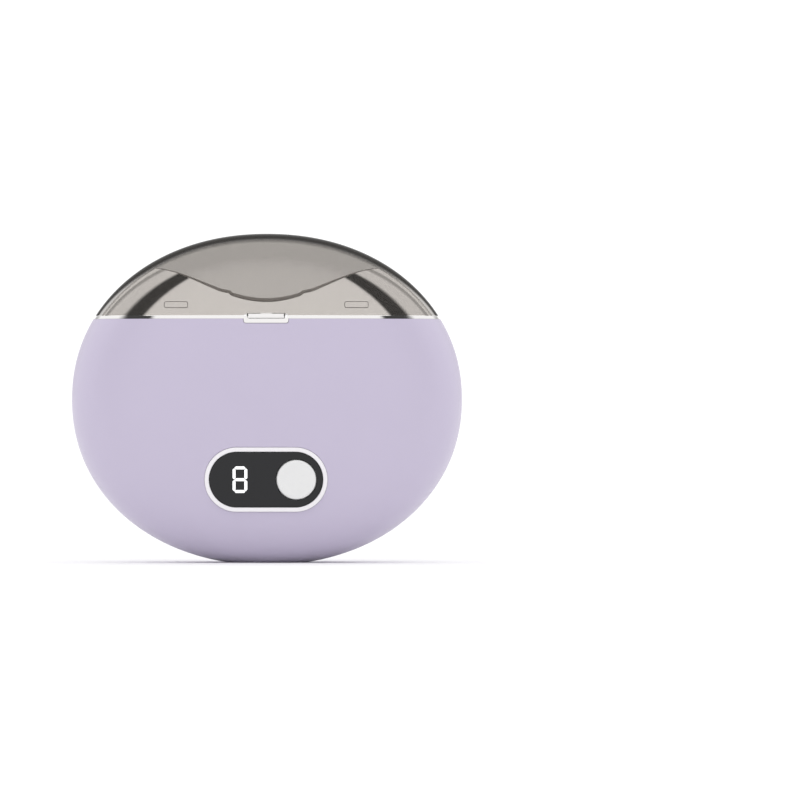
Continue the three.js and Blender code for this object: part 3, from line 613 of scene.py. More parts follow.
def new_geometry(name, inputs):
    """An empty Geometry Nodes tree with named inputs, given as name and socket kind."""
    group = bpy.data.node_groups.new(name, "GeometryNodeTree")
    group.interface.new_socket("Geometry", in_out="OUTPUT", socket_type="NodeSocketGeometry")
    for label, kind in {"Geometry": "Geometry", **inputs, "Finish": "Material"}.items():
        group.interface.new_socket(label, in_out="INPUT", socket_type="NodeSocket" + kind)
    tree = Tree(group)
    entry = tree.node("NodeGroupInput")
    return group, tree, {label: entry.named(label) for label in ["Geometry", *inputs, "Finish"]}


def close_geometry(tree, geometry, finish):
    """Ends a tree: real geometry instead of instances, with its finish on."""
    real = tree.node("GeometryNodeRealizeInstances", inputs={0: geometry})
    dressed = tree.node("GeometryNodeSetMaterial", inputs={"Geometry": real, "Material": finish})
    tree.node("NodeGroupOutput", inputs={0: dressed})


def grown(name, group, values, start=None):
    """Runs a tree on a mesh and keeps the result as a plain mesh."""
    piece = add_object(name, start or bpy.data.meshes.new(name))
    modifier = piece.modifiers.new(group.name, "NODES")
    modifier.node_group = group
    for socket in group.interface.items_tree:
        if socket.in_out == "INPUT" and socket.name in values:
            modifier[socket.identifier] = values[socket.name]
    settle(piece)
    return piece


# %% Pebble tree


def pebble_tree():
    sizes = ["Half width", "Half depth", "Half height", "Centre height", "Outline power", "Face power"]
    kinds = {**{size: "Float" for size in sizes}, "Around": "Int", "Rings": "Int"}
    group, tree, given = new_geometry("pebble", kinds)
    ball_sizes = {"Segments": given["Around"], "Rings": given["Rings"], "Radius": 1.0}
    ball = tree.node("GeometryNodeMeshUVSphere", inputs=ball_sizes)
    at = tree.node("ShaderNodeSeparateXYZ", inputs={0: tree.node("GeometryNodeInputPosition")})
    across, up, forward = at.named("X"), at.named("Y"), at.named("Z")
    reach = (across * across + up * up) ** 0.5
    spread = reach ** (tree.node("ShaderNodeMath", {"operation": "DIVIDE"}, {0: 2.0, 1: given["Face power"]}))
    power = tree.node("ShaderNodeMath", {"operation": "DIVIDE"}, {0: 2.0, 1: given["Outline power"]})
    safe = reach + 1e-9
    cosine, sine = across / safe, up / safe
    x = given["Half width"] * spread * cosine.math("SIGN", cosine) * abs(cosine) ** power
    z = given["Half height"] * spread * sine.math("SIGN", sine) * abs(sine) ** power + given["Centre height"]
    place = tree.node("ShaderNodeCombineXYZ", inputs={0: x, 1: forward * -1 * given["Half depth"], 2: z})
    moved = tree.node("GeometryNodeSetPosition", inputs={"Geometry": ball, "Position": place})
    close_geometry(tree, moved, given["Finish"])
    return group


pebble_group = pebble_tree()


def pebble(name, inset=(0, 0, 0), face_power=FACE_POWER, around=288, rings=144):
    """One layer of the pebble, taken in from the outside by an inset on each axis."""
    values = {
        "Half width": (HALF_WIDTH - inset[0]) * MM,
        "Half depth": (HALF_DEPTH - inset[1]) * MM,
        "Half height": (HALF_HEIGHT - inset[2]) * MM,
        "Centre height": CENTRE_Z * MM,
        "Outline power": float(OUTLINE_POWER),
        "Face power": float(face_power),
        "Around": around,
        "Rings": rings,
    }
    return grown(name, pebble_group, values)


def slab_of(low, high, front=-OUTSIDE, back=OUTSIDE):
    """A block wider than the object, between two heights and two depths."""
    return block("slab", (-2 * HALF_WIDTH, front, low), (2 * HALF_WIDTH, back, high))


# %% [markdown]
# ## The two half cases
# The real case is two injection-moulded shells that meet on the widest line of the pebble. Each is the
# pebble less a smaller pebble, halved, with holes and bosses. The edges of the panel opening get a small
# lead-in, which catches light as a moulded edge does.

# %% Front case
SHELL_WALL = 2.0
SEAM = 0.07
CASE_TOP = SPLIT_Z - 0.04
BEZEL_HALF = (corners_of("panel_bezel")[1] - corners_of("panel_bezel")[0]) / 2
BEZEL_FRONT = corners_of("panel_bezel")[0].y
BEZEL_BACK = corners_of("panel_bezel")[1].y
LIP_HALF = 6.25
LIP_BOTTOM = corners_of("bright_collar")[0].z
COLLAR_SCREW_X = middle_of("collar_screw_right").x
COLLAR_SCREW_Y = middle_of("collar_screw_right").y
BOARD_SCREW_X = middle_of("board_screw_right").x
HOUSING_SCREW = middle_of("housing_screw_right")
INLET_SIZE = (corners_of("charging_inlet")[1] - corners_of("charging_inlet")[0]) / 2


def half_case(name, front, back):
    shell = cut(pebble(name), pebble("hollow", [SHELL_WALL] * 3, around=192, rings=96))
    return keep_inside(shell, slab_of(0, CASE_TOP, front, back))


def inlet_hole():
    """The pill-shaped hole in the foot for the charging socket, on both sides of the seam."""
    gap = 0.2
    pill = bar_outline(INLET_SIZE.x + gap, INLET_SIZE.y + gap, 0, 0, steps=12)
    return loft("inlet_hole", [[(x, y, z) for x, y in pill] for z in (-1, 5)])


def front_case():
    shell = half_case("front_case", -OUTSIDE, -SEAM)
    posts = []
    for side in (-1, 1):
        posts.append(rod("post", 1, 2.2, -16.6, -13.2, (side * BOARD_SCREW_X, 0, PANEL_Z)))
        posts.append(rod("post", 1, 2.4, -16.6, -7.8, (side * HOUSING_SCREW.x, 0, HOUSING_SCREW.z)))
        posts.append(rod("boss", 2, 2.1, 62.5, CASE_TOP, (side * COLLAR_SCREW_X, COLLAR_SCREW_Y, 0)))
    join(shell, *posts)
    mouth = [(-0.26, -OUTSIDE), (-0.26, BEZEL_FRONT - 0.02), (-0.05, BEZEL_FRONT + 0.2), (-0.05, -14.9)]
    opening = framed("opening", mouth, BEZEL_HALF.x, BEZEL_HALF.z, 0, PANEL_Z, ring=False)
    notch = prism(
        "notch", bar_outline(LIP_HALF + 0.12, 2, 0, LIP_BOTTOM + 1.88, 0.7, 8), -OUTSIDE, -15
    )
    return cut(shell, opening, notch, inlet_hole())


finished(front_case(), lavender, "housing", "shell_lavender", "front_shell")

# %% [markdown]
# The back case has a shallow oval dish that leads a fingertip to the port. Its rim must melt into the
# flat back, so the dish is a tool whose depth follows a soft curve: a bowl whose edge is blended to
# nothing over about a millimetre. Its faces get a darker copy of the lavender: painted shade for the
# hollow.

# %% Back case
DISH_HALF_WIDTH, DISH_HALF_HEIGHT = 21.6, 17.0
DISH_DEPTH = 2.9
DISH_BLEND = 0.13
SEAT_RADIUS = 17.6
SEAT_FLOOR = 11.2
SEAT_GAP = 0.3


def dish_depth(share):
    """How deep the dish is at a share of the way from its middle to its rim."""
    bowl = DISH_DEPTH * (1 - share**2.6)
    return DISH_BLEND * math.log1p(math.exp(bowl / DISH_BLEND))


def oval(share, y, grow=0):
    return [
        (x * (DISH_HALF_WIDTH * share + grow), y, PORT_Z + z * (DISH_HALF_HEIGHT * share + grow))
        for x, z in circle_outline(1, 0, 0, 160)
    ]


def dish_tool():
    face = HALF_DEPTH - 0.012
    shares = [0.05 + 1.05 * (i / 60) for i in range(61)]
    loops = [oval(share, face - dish_depth(share)) for share in shares]
    return loft("dish", [*loops, oval(1.12, face + 0.03), oval(1.12, HALF_DEPTH + 3)])


def back_case():
    shell = half_case("back_case", SEAM, OUTSIDE)
    backing = loft("backing", [oval(0.8, SEAT_FLOOR), oval(1.0, 13, 1.2), oval(1.0, OUTSIDE, 1.8)])
    seat = rod("seat", 1, SEAT_RADIUS, SEAT_FLOOR, HALF_DEPTH, (PORT_X, 0, PORT_Z), 96)
    solid = keep_inside(join(backing, seat), pebble("skin"))
    join(shell, solid)
    hollow = rod("hollow", 1, PORT_RADIUS + SEAT_GAP, SEAT_FLOOR - 3, OUTSIDE, (PORT_X, 0, PORT_Z), 144)
    return cut(shell, dish_tool(), hollow, inlet_hole())


def in_dish(point, _normal):
    """1 where a point, in millimetres, lies on the dish, and 0 on the pebble's own back."""
    share = math.hypot(point.x / DISH_HALF_WIDTH, (point.z - PORT_Z) / DISH_HALF_HEIGHT)
    return int(share < 1 and 12 < point.y < HALF_DEPTH - 0.2)


# The dish's faces take the darker lavender, painted shade for the hollow.
rear = faced(back_case(), [lavender, dish_painted_shade], in_dish)
finished(rear, None, "housing", "shell_lavender", "rear_shell")

# %% [markdown]
# ## The plated collar
# The collar is one plated moulding: a thin band that shows between the case and the clear box, a deck
# under the box, and an upright wall inside the box whose top is cut to a wave. The wall is its own layer
# of the pebble, flatter in front, so its ends roll over fast, and each mirrors a dark flag as a stripe.
# The wave is a cosine with one small step on each side of its dip, and dips deeper at the back than in
# front.

# %% Wave
WALL_SIDE, WALL_FACE, WALL_TOP = 1.7, 3.8, 2.2
WALL_POWER = 11
WALL = 1.2
WAVE_TOP, FRONT_DIP, BACK_DIP = 82.9, 73.7, 70.4
WAVE_HALF = 34.5
STEP_NEAR, STEP_FAR, STEP_RISE, STEP_SOFT = 9.9, 13.2, 0.42, 0.25


def soft(value, low, high):
    t = min(1, max(0, (value - low) / (high - low)))
    return t * t * (3 - 2 * t)


def wave(x, dip):
    """The height of the wall's wavy edge, with its small step on each side of the dip."""
    fall = (WAVE_TOP - dip) * (1 + math.cos(math.pi * min(1, abs(x) / WAVE_HALF))) / 2
    start = soft(abs(x), STEP_NEAR - STEP_SOFT, STEP_NEAR + STEP_SOFT)
    step = STEP_RISE * start * (1 - soft(abs(x), STEP_NEAR, STEP_FAR))
    return WAVE_TOP - fall + step


def above_wave(dip, front, back, lift=0.0):
    """Everything above the wave, as a tool."""
    steps = 240
    xs = [WAVE_HALF * (2 * i / steps - 1) for i in range(steps + 1)]
    curve = [(x, wave(x, dip) + lift) for x in xs]
    side = 2 * HALF_WIDTH
    far = [(side, WAVE_TOP + lift), (side, 2 * TOP), (-side, 2 * TOP), (-side, WAVE_TOP + lift)]
    return prism("above_wave", [*curve, *far], front, back)


def wall_layer(depth):
    inset = [WALL_SIDE + depth, WALL_FACE + depth, WALL_TOP + depth]
    return pebble("wall_layer", inset, WALL_POWER, 288, 176)


# %% Collar
PAD_X, PAD_Z, PAD_HALF, PAD_RISE, PAD_CORNER, PAD_PROUD = 25.3, 72.45, 3.2, 0.76, 0.4, 0.22
LIP_BACK, LIP_HALF_HEIGHT, LIP_CORNER = -15.2, 1.3, 0.6
SPRING_POST = ((-1.6, -8, DECK_TOP - 0.2), (1.6, -6.8, 72.6))
SCREW_HOLE = 1.15
CHUTE = ((-11, -5.5), (11, 8.2))
LATCH_LOW, LATCH_HIGH = corners_of("release_latch")
LATCH_TOP = 69.9
LATCH_GAP = 0.2
LATCH_TRAVEL = 0.8


def snap_pads():
    """Four low pads that the clear box clicks over."""
    pads = cut(wall_layer(-PAD_PROUD), wall_layer(0.4))
    bars = []
    for side in (-1, 1):
        outline = bar_outline(PAD_HALF, PAD_RISE, side * PAD_X, PAD_Z, PAD_CORNER, 8)
        bars.append(prism("pad", outline, -OUTSIDE, OUTSIDE))
    return keep_inside(pads, join(*bars))


def collar():
    deck = keep_inside(pebble("bright_collar_plated"), slab_of(SPLIT_Z, DECK_TOP))
    ring = keep_inside(cut(wall_layer(0), wall_layer(WALL)), slab_of(SPLIT_Z + 0.3, TOP))
    cut(ring, above_wave(FRONT_DIP, -OUTSIDE, 0), above_wave(BACK_DIP, 0, OUTSIDE))
    lip_shape = bar_outline(LIP_HALF, LIP_HALF_HEIGHT, 0, LIP_BOTTOM + LIP_HALF_HEIGHT, LIP_CORNER, 8)
    lip = keep_inside(prism("lip", lip_shape, -OUTSIDE, LIP_BACK), pebble("skin"))
    post = block("post", *SPRING_POST)
    floor_low = (-LIP_HALF, LIP_BACK - 0.2, SPLIT_Z - 0.5)
    floor_high = (LIP_HALF, LATCH_HIGH.y + LATCH_TRAVEL + 1, SPLIT_Z + 0.1)
    latch_floor = block("floor", floor_low, floor_high)
    join(deck, ring, lip, latch_floor, post, snap_pads())
    (left, front), (right, back) = CHUTE
    chute = block("chute", (left, front, SPLIT_Z - 1), (right, back, DECK_TOP + 1))
    low_z, high_z = LATCH_LOW.z - LATCH_GAP, LATCH_TOP + LATCH_GAP
    side = LATCH_HIGH.x + LATCH_GAP
    notch = block("notch", (-side, -OUTSIDE, low_z), (side, LATCH_HIGH.y + LATCH_TRAVEL + 0.4, high_z))
    cut(deck, chute, notch)
    for side in (-1, 1):
        seat = (side * COLLAR_SCREW_X, COLLAR_SCREW_Y, 0)
        cut(deck, rod("hole", 2, SCREW_HOLE, SPLIT_Z - 1, DECK_TOP + 1, seat))
    return deck


def plate_of(point, normal):
    """0: dimmed band and deck, 1: darker inside of the wall, 2: the wall's brighter outside."""
    if point.z <= DECK_TOP + 0.02:
        return 0
    across = normal.x * math.copysign(1, point.x)
    along = normal.y * math.copysign(1, point.y)
    within = abs(point.y) < HALF_DEPTH - WALL_FACE - 0.3
    return 1 if min(across, along) < -0.3 and within else 2


# The band and deck take the dimmed plating, painted shade; the wall's outside the brighter copy.
collar_piece = faced(collar(), [plating, inner_plating, wall_plating], plate_of)
finished(collar_piece, None, "housing", "bright_plating", "bright_collar")

# %% [markdown]
# ## The rolled edge of the wave
# Plated edges are never sharp: the wall's top is rolled to a small bead. It follows the wave all the way
# round, thicker in the dip than at the ends. Its finish is a dark grey, far darker than the plating:
# painted shade for the dark line along the edge. A path with a changing thickness is what Geometry
# Nodes' Curve to Mesh is for: the loop of points becomes a curve, its radius is worked out from the
# height, and a circle is swept along it.

# %% Wave bead
BEAD_DEPTH = 0.22
BEAD_DIP, BEAD_PEAK = 0.58, 0.24
PAD_LINE = 0.18


def bead_tree():
    kinds = {name: "Float" for name in ("Dip radius", "Peak radius", "Dip height", "Peak height")}
    group, tree, given = new_geometry("rolled_edge", kinds)
    curve = tree.node("GeometryNodeMeshToCurve", inputs={0: given["Geometry"]})
    at = tree.node("ShaderNodeSeparateXYZ", inputs={0: tree.node("GeometryNodeInputPosition")})
    up = tree.node(
        "ShaderNodeMapRange",
        inputs={0: at.named("Z"), 1: given["Dip height"], 2: given["Peak height"]},
    )
    radius = given["Dip radius"] + up * (given["Peak radius"] - given["Dip radius"])
    sized = tree.node("GeometryNodeSetCurveRadius", inputs={"Curve": curve, "Radius": radius})
    section = tree.node("GeometryNodeCurvePrimitiveCircle", inputs={"Resolution": 16, "Radius": 1.0})
    own = tree.node("GeometryNodeInputRadius")
    swept = tree.node(
        "GeometryNodeCurveToMesh", inputs={"Curve": sized, "Profile Curve": section, "Scale": own}
    )
    close_geometry(tree, swept, given["Finish"])
    return group


def wall_y(x, z, depth=BEAD_DEPTH):
    """How far from the middle plane the wall is at a place, at a depth below its surface."""
    reach = (
        (abs(x) / (HALF_WIDTH - WALL_SIDE - depth)) ** OUTLINE_POWER
        + (abs(z - CENTRE_Z) / (HALF_HEIGHT - WALL_TOP - depth)) ** OUTLINE_POWER
    ) ** (1 / OUTLINE_POWER)
    return (HALF_DEPTH - WALL_FACE - depth) * math.sqrt(max(0, 1 - reach**WALL_POWER))


def wave_end():
    """Where the wave runs into the end of the wall."""
    low, high = 20.0, WAVE_HALF
    for _ in range(40):
        middle = (low + high) / 2
        if wall_y(middle, wave(middle, FRONT_DIP)) > 0:
            low = middle
        else:
            high = middle
    return low


def wave_loop(points=260):
    """A closed loop along the edge of the wave: across the front and back behind."""
    end = wave_end()
    loop = []
    for i in range(points):
        turn = 2 * math.pi * i / points
        x = -end * math.cos(turn)
        dip = FRONT_DIP if turn < math.pi else BACK_DIP
        z = wave(x, dip)
        y = wall_y(x, z) * (-1 if turn < math.pi else 1)
        loop.append(Vector((x, y, z)) * MM)
    mesh = bpy.data.meshes.new("wave_loop")
    mesh.from_pydata(loop, [(i, (i + 1) % points) for i in range(points)], [])
    return mesh


bead_sizes = {
    "Dip radius": BEAD_DIP * MM, "Peak radius": BEAD_PEAK * MM,
    "Dip height": FRONT_DIP * MM, "Peak height": WAVE_TOP * MM, "Finish": edge_painted_shade,
}
bead_group = bead_tree()
# The bead's dark finish is painted shade along the wave's edge.
wave_edge = grown("wave_edge_bead", bead_group, bead_sizes, wave_loop())
finished(wave_edge, edge_painted_shade, "housing", "bright_plating")
print(f"wave ends at x {wave_end():.2f}")

# %% [markdown]
# Each snap pad has a fine dark outline where it meets the wall: a thin bead in the same dark grey,
# painted shade along the pad's edge. The same tree sweeps it, with one thin radius, round the four pad
# outlines.

# %% Pad outlines


def pad_loops():
    """The outlines of the four pads, on the wall's surface."""
    points, edges = [], []
    for side in (-1, 1):
        outline = bar_outline(PAD_HALF, PAD_RISE, side * PAD_X, PAD_Z, PAD_CORNER, 6)
        for face in (-1, 1):
            first = len(points)
            points.extend(Vector((x, face * wall_y(x, z, 0), z)) * MM for x, z in outline)
            count = len(outline)
            edges.extend((first + i, first + (i + 1) % count) for i in range(count))
    mesh = bpy.data.meshes.new("pad_loops")
    mesh.from_pydata(points, edges, [])
    return mesh


line_sizes = {**bead_sizes, "Dip radius": PAD_LINE * MM, "Peak radius": PAD_LINE * MM}
# The pad outlines carry the same painted shade.
pad_edges = grown("snap_pad_outlines", bead_group, line_sizes, pad_loops())
finished(pad_edges, edge_painted_shade, "housing", "bright_plating")

# %% [markdown]
# ## The clear box
# The box is the top slice of the pebble, hollowed. Its wall is thickest at the crown. It is one closed
# solid with an inner and an outer surface, because each surface tints what is behind it.

# %% Clear box
BOX_SIDE, BOX_FACE, BOX_TOP = 1.2, 1.4, 1.7


def clear_box():
    shell = cut(pebble("smoke_box"), pebble("cavity", [BOX_SIDE, BOX_FACE, BOX_TOP]))
    keep_inside(shell, slab_of(DECK_TOP + 0.16, TOP + 1))
    side = LATCH_HIGH.x + LATCH_GAP
    return cut(shell, block("latch_gap", (-side, -OUTSIDE, 60), (side, -12, LATCH_TOP + LATCH_GAP)))


SKIN = 0.93


def under_skin(point, _normal):
    """0 where a point, in millimetres, lies on the pebble's outside, and 1 on a layer within."""
    across, up = abs(point.x) / HALF_WIDTH, abs(point.z - CENTRE_Z) / HALF_HEIGHT
    reach = (across**OUTLINE_POWER + up**OUTLINE_POWER) ** (1 / OUTLINE_POWER)
    return int((point.y / HALF_DEPTH) ** 2 + reach**FACE_POWER <= SKIN)


box = faced(clear_box(), [smoke, smoke_inside], under_skin)
finished(box, None, "clear_box", "smoke_clear", "clear_box")

# %% [markdown]
# ## The release latch
# A small plated bar with soft edges sits in the notch under the box's front edge, with a tab behind it
# that its spring pushes on. The bar is a rounded outline through its depth, with a lead-in on its face.

# %% Latch


def latch():
    front, back = LATCH_LOW.y, LATCH_HIGH.y
    half = Vector((LATCH_HIGH.x, 0, (LATCH_TOP - LATCH_LOW.z) / 2))
    centre = (LATCH_TOP + LATCH_LOW.z) / 2
    loops = []
    for inset, y in [(0.22, front), (0.07, front + 0.06), (0, front + 0.22), (0, back)]:
        outline = bar_outline(half.x - inset, half.z - inset, 0, centre, 0.3, 6)
        loops.append(at_depth(outline, y))
    bar = loft("release_latch_plated", loops)
    return join(bar, block("tab", (-1.6, back - 0.8, LATCH_LOW.z + 0.02), (1.6, back - 0.01, LATCH_HIGH.z)))


# The latch takes the dimmed plating too, painted shade on its reflection.
finished(latch(), plating, "release_latch", "bright_plating", "release_latch")

# %% [markdown]
# ## Display panel
# The panel is three mouldings in a pill-shaped opening: a gloss white frame with a rounded front, a black
# window, and the light-guide bars of one seven-bar digit that end flush with it. The button is a round
# white cap in a hole of the same window.

# %% Panel frame and window
FRAME_RIM = 1.25
WINDOW_FRONT, WINDOW_BACK = corners_of("panel_window")[0].y, corners_of("panel_window")[1].y
BUTTON_LOW, BUTTON_HIGH = corners_of("power_button")
BUTTON_RADIUS = 5.5
FLANGE_RADIUS = (BUTTON_HIGH.x - BUTTON_LOW.x) / 2

frame_profile = rounded(
    [(0, BEZEL_BACK), (0, BEZEL_FRONT), (FRAME_RIM, BEZEL_FRONT), (FRAME_RIM, BEZEL_BACK)], 0.34
)
panel_frame = framed("panel_frame", frame_profile, BEZEL_HALF.x, BEZEL_HALF.z, 0, PANEL_Z)
finished(panel_frame, gloss_white, "housing", "white_plastic", "panel_bezel")

DIGIT_X = -7.3
DIGIT_HALF = 2.05
STROKE = 0.8
BAR_GAP = 0.16


def digit_bars(grow, front, back):
    """The seven bars of one number, pointed at both ends, as separate prisms."""
    spacing = DIGIT_HALF - STROKE / 2
    half = STROKE / 2 + grow
    reach = spacing - BAR_GAP / math.sqrt(2) + grow * math.sqrt(2)
    along = [(reach, 0), (reach - half, half), (half - reach, half)]
    loop = along + [(-u, -v) for u, v in along]
    places = [(0, level * spacing, False) for level in (-2, 0, 2)]
    places += [(side * spacing, level * spacing, True) for side in (-1, 1) for level in (-1, 1)]
    bars = []
    for x, z, upright in places:
        turned_loop = [(-v, u) if upright else (u, v) for u, v in loop]
        outline = [(DIGIT_X + x + u, PANEL_Z + z + v) for u, v in turned_loop]
        bars.append(prism("bar", outline, front, back))
    return bars


def window():
    inset = FRAME_RIM + 0.06
    profile = [(0.1, WINDOW_FRONT), (0, WINDOW_FRONT + 0.1), (0, WINDOW_BACK)]
    pane = framed(
        "black_window", profile, BEZEL_HALF.x - inset, BEZEL_HALF.z - inset, 0, PANEL_Z, ring=False
    )
    mouth = [
        (BUTTON_RADIUS + 0.3, -OUTSIDE), (BUTTON_RADIUS + 0.3, WINDOW_FRONT),
        (BUTTON_RADIUS + 0.18, WINDOW_FRONT + 0.12), (BUTTON_RADIUS + 0.18, WINDOW_BACK + 1),
    ]
    cut(pane, turned("mouth", mouth, BUTTON_X, PANEL_Z, ring=False, steps=96))
    return cut(pane, *digit_bars(0.02, -OUTSIDE, WINDOW_BACK + 1))


finished(window(), black_acrylic, "housing", "black_panel", "panel_window")


def digit():
    low, high = corners_of("digit_module")
    back = block("digit_light_guide", (low.x, WINDOW_BACK + 0.2, low.z), (high.x, high.y, high.z))
    return join(back, *digit_bars(0, WINDOW_FRONT + 0.01, WINDOW_BACK + 0.4))


finished(digit(), digit_white, "housing", "digit_white", "digit_module")

# %% [markdown]
# The button cap is turned: a nearly flat top that sinks a little to its middle, where a thumb finds it, a
# rounded rim, a skirt, and a wider flange that stops it from falling out.

# %% Button


def button_profile():
    front, back = BUTTON_LOW.y, -15.8
    flange = -16.2
    crown = [(0.4, front + 0.16), (2.5, front + 0.12), (4.2, front + 0.05), (4.7, front + 0.01)]
    corner = [(0.45, 0.0), (0.2, 0.08), (0.05, 0.24), (0.0, 0.5)]
    rim = [(BUTTON_RADIUS - inwards, front + down) for inwards, down in corner]
    skirt = [(BUTTON_RADIUS, flange), (FLANGE_RADIUS, flange), (FLANGE_RADIUS, back)]
    return [*crown, *rim, *skirt, (1.5, back), (1.5, BUTTON_HIGH.y)]


button = turned("power_button_cap", button_profile(), BUTTON_X, PANEL_Z, ring=False, steps=128)
finished(button, button_white, "power_button", "white_plastic", "power_button")

# %% [markdown]
# ## The working port
# The port is a stack round one axis: a violet clear ring set in the back case, with a groove under its
# lip and four gaps in the lip; a soft seal; and a violet clear cover whose four lugs drop through the
# gaps and lock under the lip when it is twisted. The lugs are silvery blocks, which is what shows in the
# lip's gaps. All of it is turned, then cut by four spokes.

# %% Port ring, seal and cover
RING_TOP, LIP_UNDER, LIP_RADIUS, GROOVE_RADIUS = 17.6, 16.0, 12.6, 14.5
RING_FLOOR, GROOVE_FLOOR, BORE = corners_of("port_ring")[0].y, 12.0, 11.0
LUG_HALF, LUG_UNDER, RIM_INSET = 2.0, 13.6, 0.35
MARK_X, MARK_RADIUS = PORT_X + 9.6, 0.88
LUG_RADIUS = (corners_of("port_cover")[1].x - corners_of("port_cover")[0].x) / 2
PANE_RADIUS, PANE_TOP, PANE_UNDER, SPIGOT, SPIGOT_INSIDE = 12.3, 16.8, 15.3, 13.1, 11.2
QUARTERS = [i * math.pi / 2 for i in range(4)]


def spoke(angle, half_width, inner, outer, low, high):
    """A block that reaches out from the port's axis in one direction."""
    along = Vector((math.cos(angle), 0, math.sin(angle)))
    across = Vector((-math.sin(angle), 0, math.cos(angle)))
    axis = Vector((PORT_X, 0, PORT_Z))
    corners = [(inner, -half_width), (outer, -half_width), (outer, half_width), (inner, half_width)]
    outline = rounded(corners, 0.25, 4)
    loops = [[axis + along * r + across * w + Vector((0, y, 0)) for r, w in outline] for y in (low, high)]
    return loft("spoke", loops)


def port_ring():
    profile = rounded(
        [(BORE, RING_FLOOR), (PORT_RADIUS, RING_FLOOR), (PORT_RADIUS, RING_TOP), (LIP_RADIUS, RING_TOP),
         (LIP_RADIUS, LIP_UNDER), (GROOVE_RADIUS, LIP_UNDER), (GROOVE_RADIUS, GROOVE_FLOOR),
         (BORE, GROOVE_FLOOR)],
        0.28,
    )
    ring = turned("port_ring_clear", profile)
    reach, heights = (BORE, GROOVE_RADIUS - 0.1), (LIP_UNDER - 0.5, RING_TOP + 1)
    return cut(ring, *[spoke(angle, LUG_HALF + 0.2, *reach, *heights) for angle in QUARTERS])


def port_cover():
    edge = 0.3
    profile = [
        (0.5, PANE_UNDER), (SPIGOT_INSIDE, PANE_UNDER), (SPIGOT_INSIDE, SPIGOT + edge),
        (SPIGOT_INSIDE + edge, SPIGOT), (PANE_RADIUS - edge, SPIGOT), (PANE_RADIUS, SPIGOT + edge),
        (PANE_RADIUS, PANE_TOP - edge), (PANE_RADIUS - 0.3 * edge, PANE_TOP - 0.3 * edge),
        (PANE_RADIUS - edge, PANE_TOP), (0.5, PANE_TOP),
    ]
    return turned("port_cover_clear", profile, ring=False)


def lug_inserts():
    """Four bright blocks at the cover's rim, one on each lug."""
    reach, heights = (PANE_RADIUS - RIM_INSET, LUG_RADIUS), (LUG_UNDER, LIP_UNDER - 0.15)
    blocks = [spoke(angle, LUG_HALF, *reach, *heights) for angle in QUARTERS]
    return join(*blocks)


def wire_ring(name, x, radius, wire, steps):
    """A thin ring on the cover's face: a small circle swept round a bigger one."""
    loops = []
    for i in range(steps):
        turn = 2 * math.pi * i / steps
        out = Vector((math.cos(turn), 0, math.sin(turn)))
        centre = Vector((x, PANE_TOP, PORT_Z)) + out * radius
        ring = [2 * math.pi * k / 12 for k in range(12)]
        loops.append([centre + out * wire * math.cos(a) + Vector((0, wire * math.sin(a), 0)) for a in ring])
    return loft(name, loops, ring=True)


def rim_glint():
    """The cover's edge: a painted highlight, pale at the top and deep violet at the foot."""
    material, tree = new_material("rim_glint")
    lit = height_share(tree, PORT_Z + 1, PORT_Z + 9)
    inputs = {
        "Base Color": tree.blend(lit, (0.13, 0.11, 0.17, 1), (0.62, 0.58, 0.66, 1)),
        "Roughness": 0.2 + grain(tree, 1) * 0.05,
    }
    return dressed(material, tree, inputs)


finished(port_ring(), violet_ring, "housing", "violet_clear", "port_ring")
finished(port_cover(), violet, "port_cover", "violet_clear", "port_cover")
inserts = lug_inserts()
inserts.name = "port_cover_lug_inserts"
finished(inserts, lug_silver, "port_cover", "bright_plating")
mark = wire_ring("port_cover_ring_mark", MARK_X, MARK_RADIUS, 0.12, 40)
finished(mark, pocket_lavender, "port_cover", "violet_clear")
# The rim bead carries a painted highlight, lighter towards the top.
rim = wire_ring("port_cover_rim", PORT_X, PANE_RADIUS - RIM_INSET, 0.17, 144)
finished(rim, rim_glint(), "port_cover", "violet_clear")

seal_low, seal_high = corners_of("port_seal")
seal_profile = rounded(
    [(BORE + 0.2, seal_low.y), (PANE_RADIUS, seal_low.y), (PANE_RADIUS, seal_high.y),
     (BORE + 0.2, seal_high.y)],
    0.3,
)
finished(turned("port_seal_ring", seal_profile), seal_rubber, "port_seal", "seal_grey", "port_seal")

# %% [markdown]
# ## The finger pocket
# Behind the cover lies the guide: a plate with a D-shaped pocket in two steps, and a slot in its floor
# through which the nail meets the drum. A pocket moulding has soft edges, so each opening has its own
# rounded lead-in. The pocket is paler than the plate round it.

# %% Finger guide
GUIDE_FRONT, GUIDE_BACK = 9.4, 10.6
POCKET_FLOOR, POCKET_WALL, LEDGE = 5.0, 1.2, 8.6
SLOT_HALF, SLOT_RISE, SLOT_Z = 6.2, 0.35, 42.4
FINGER_D = (9.1, 6.8, 42.9)
INNER_D = (7.25, 5.1, 42.9)


def d_outline(half_chord, drop, top, steps=64):
    """A letter D on its back: a flat top and a round belly."""
    radius = (half_chord**2 + drop**2) / (2 * drop)
    centre = top - drop + radius
    corner = math.atan2(top - centre, half_chord)
    start, turn = corner, -math.pi - 2 * corner
    arc = [start + turn * i / steps for i in range(steps + 1)]
    return [(radius * math.cos(a), centre + radius * math.sin(a)) for a in arc]


def d_tool(shape, bottom, lead_in, open_to):
    """A D-shaped tool whose mouth widens by a lead-in."""
    half_chord, drop, top = shape
    loops = [
        at_depth(d_outline(half_chord, drop, top), bottom),
        at_depth(d_outline(half_chord, drop, top), open_to - lead_in),
        at_depth(d_outline(half_chord + lead_in * 0.4, drop + lead_in * 0.4, top), open_to - lead_in * 0.3),
        at_depth(d_outline(half_chord + lead_in, drop + lead_in, top), open_to),
        at_depth(d_outline(half_chord + lead_in, drop + lead_in, top), open_to + 2),
    ]
    return loft("d_tool", loops)


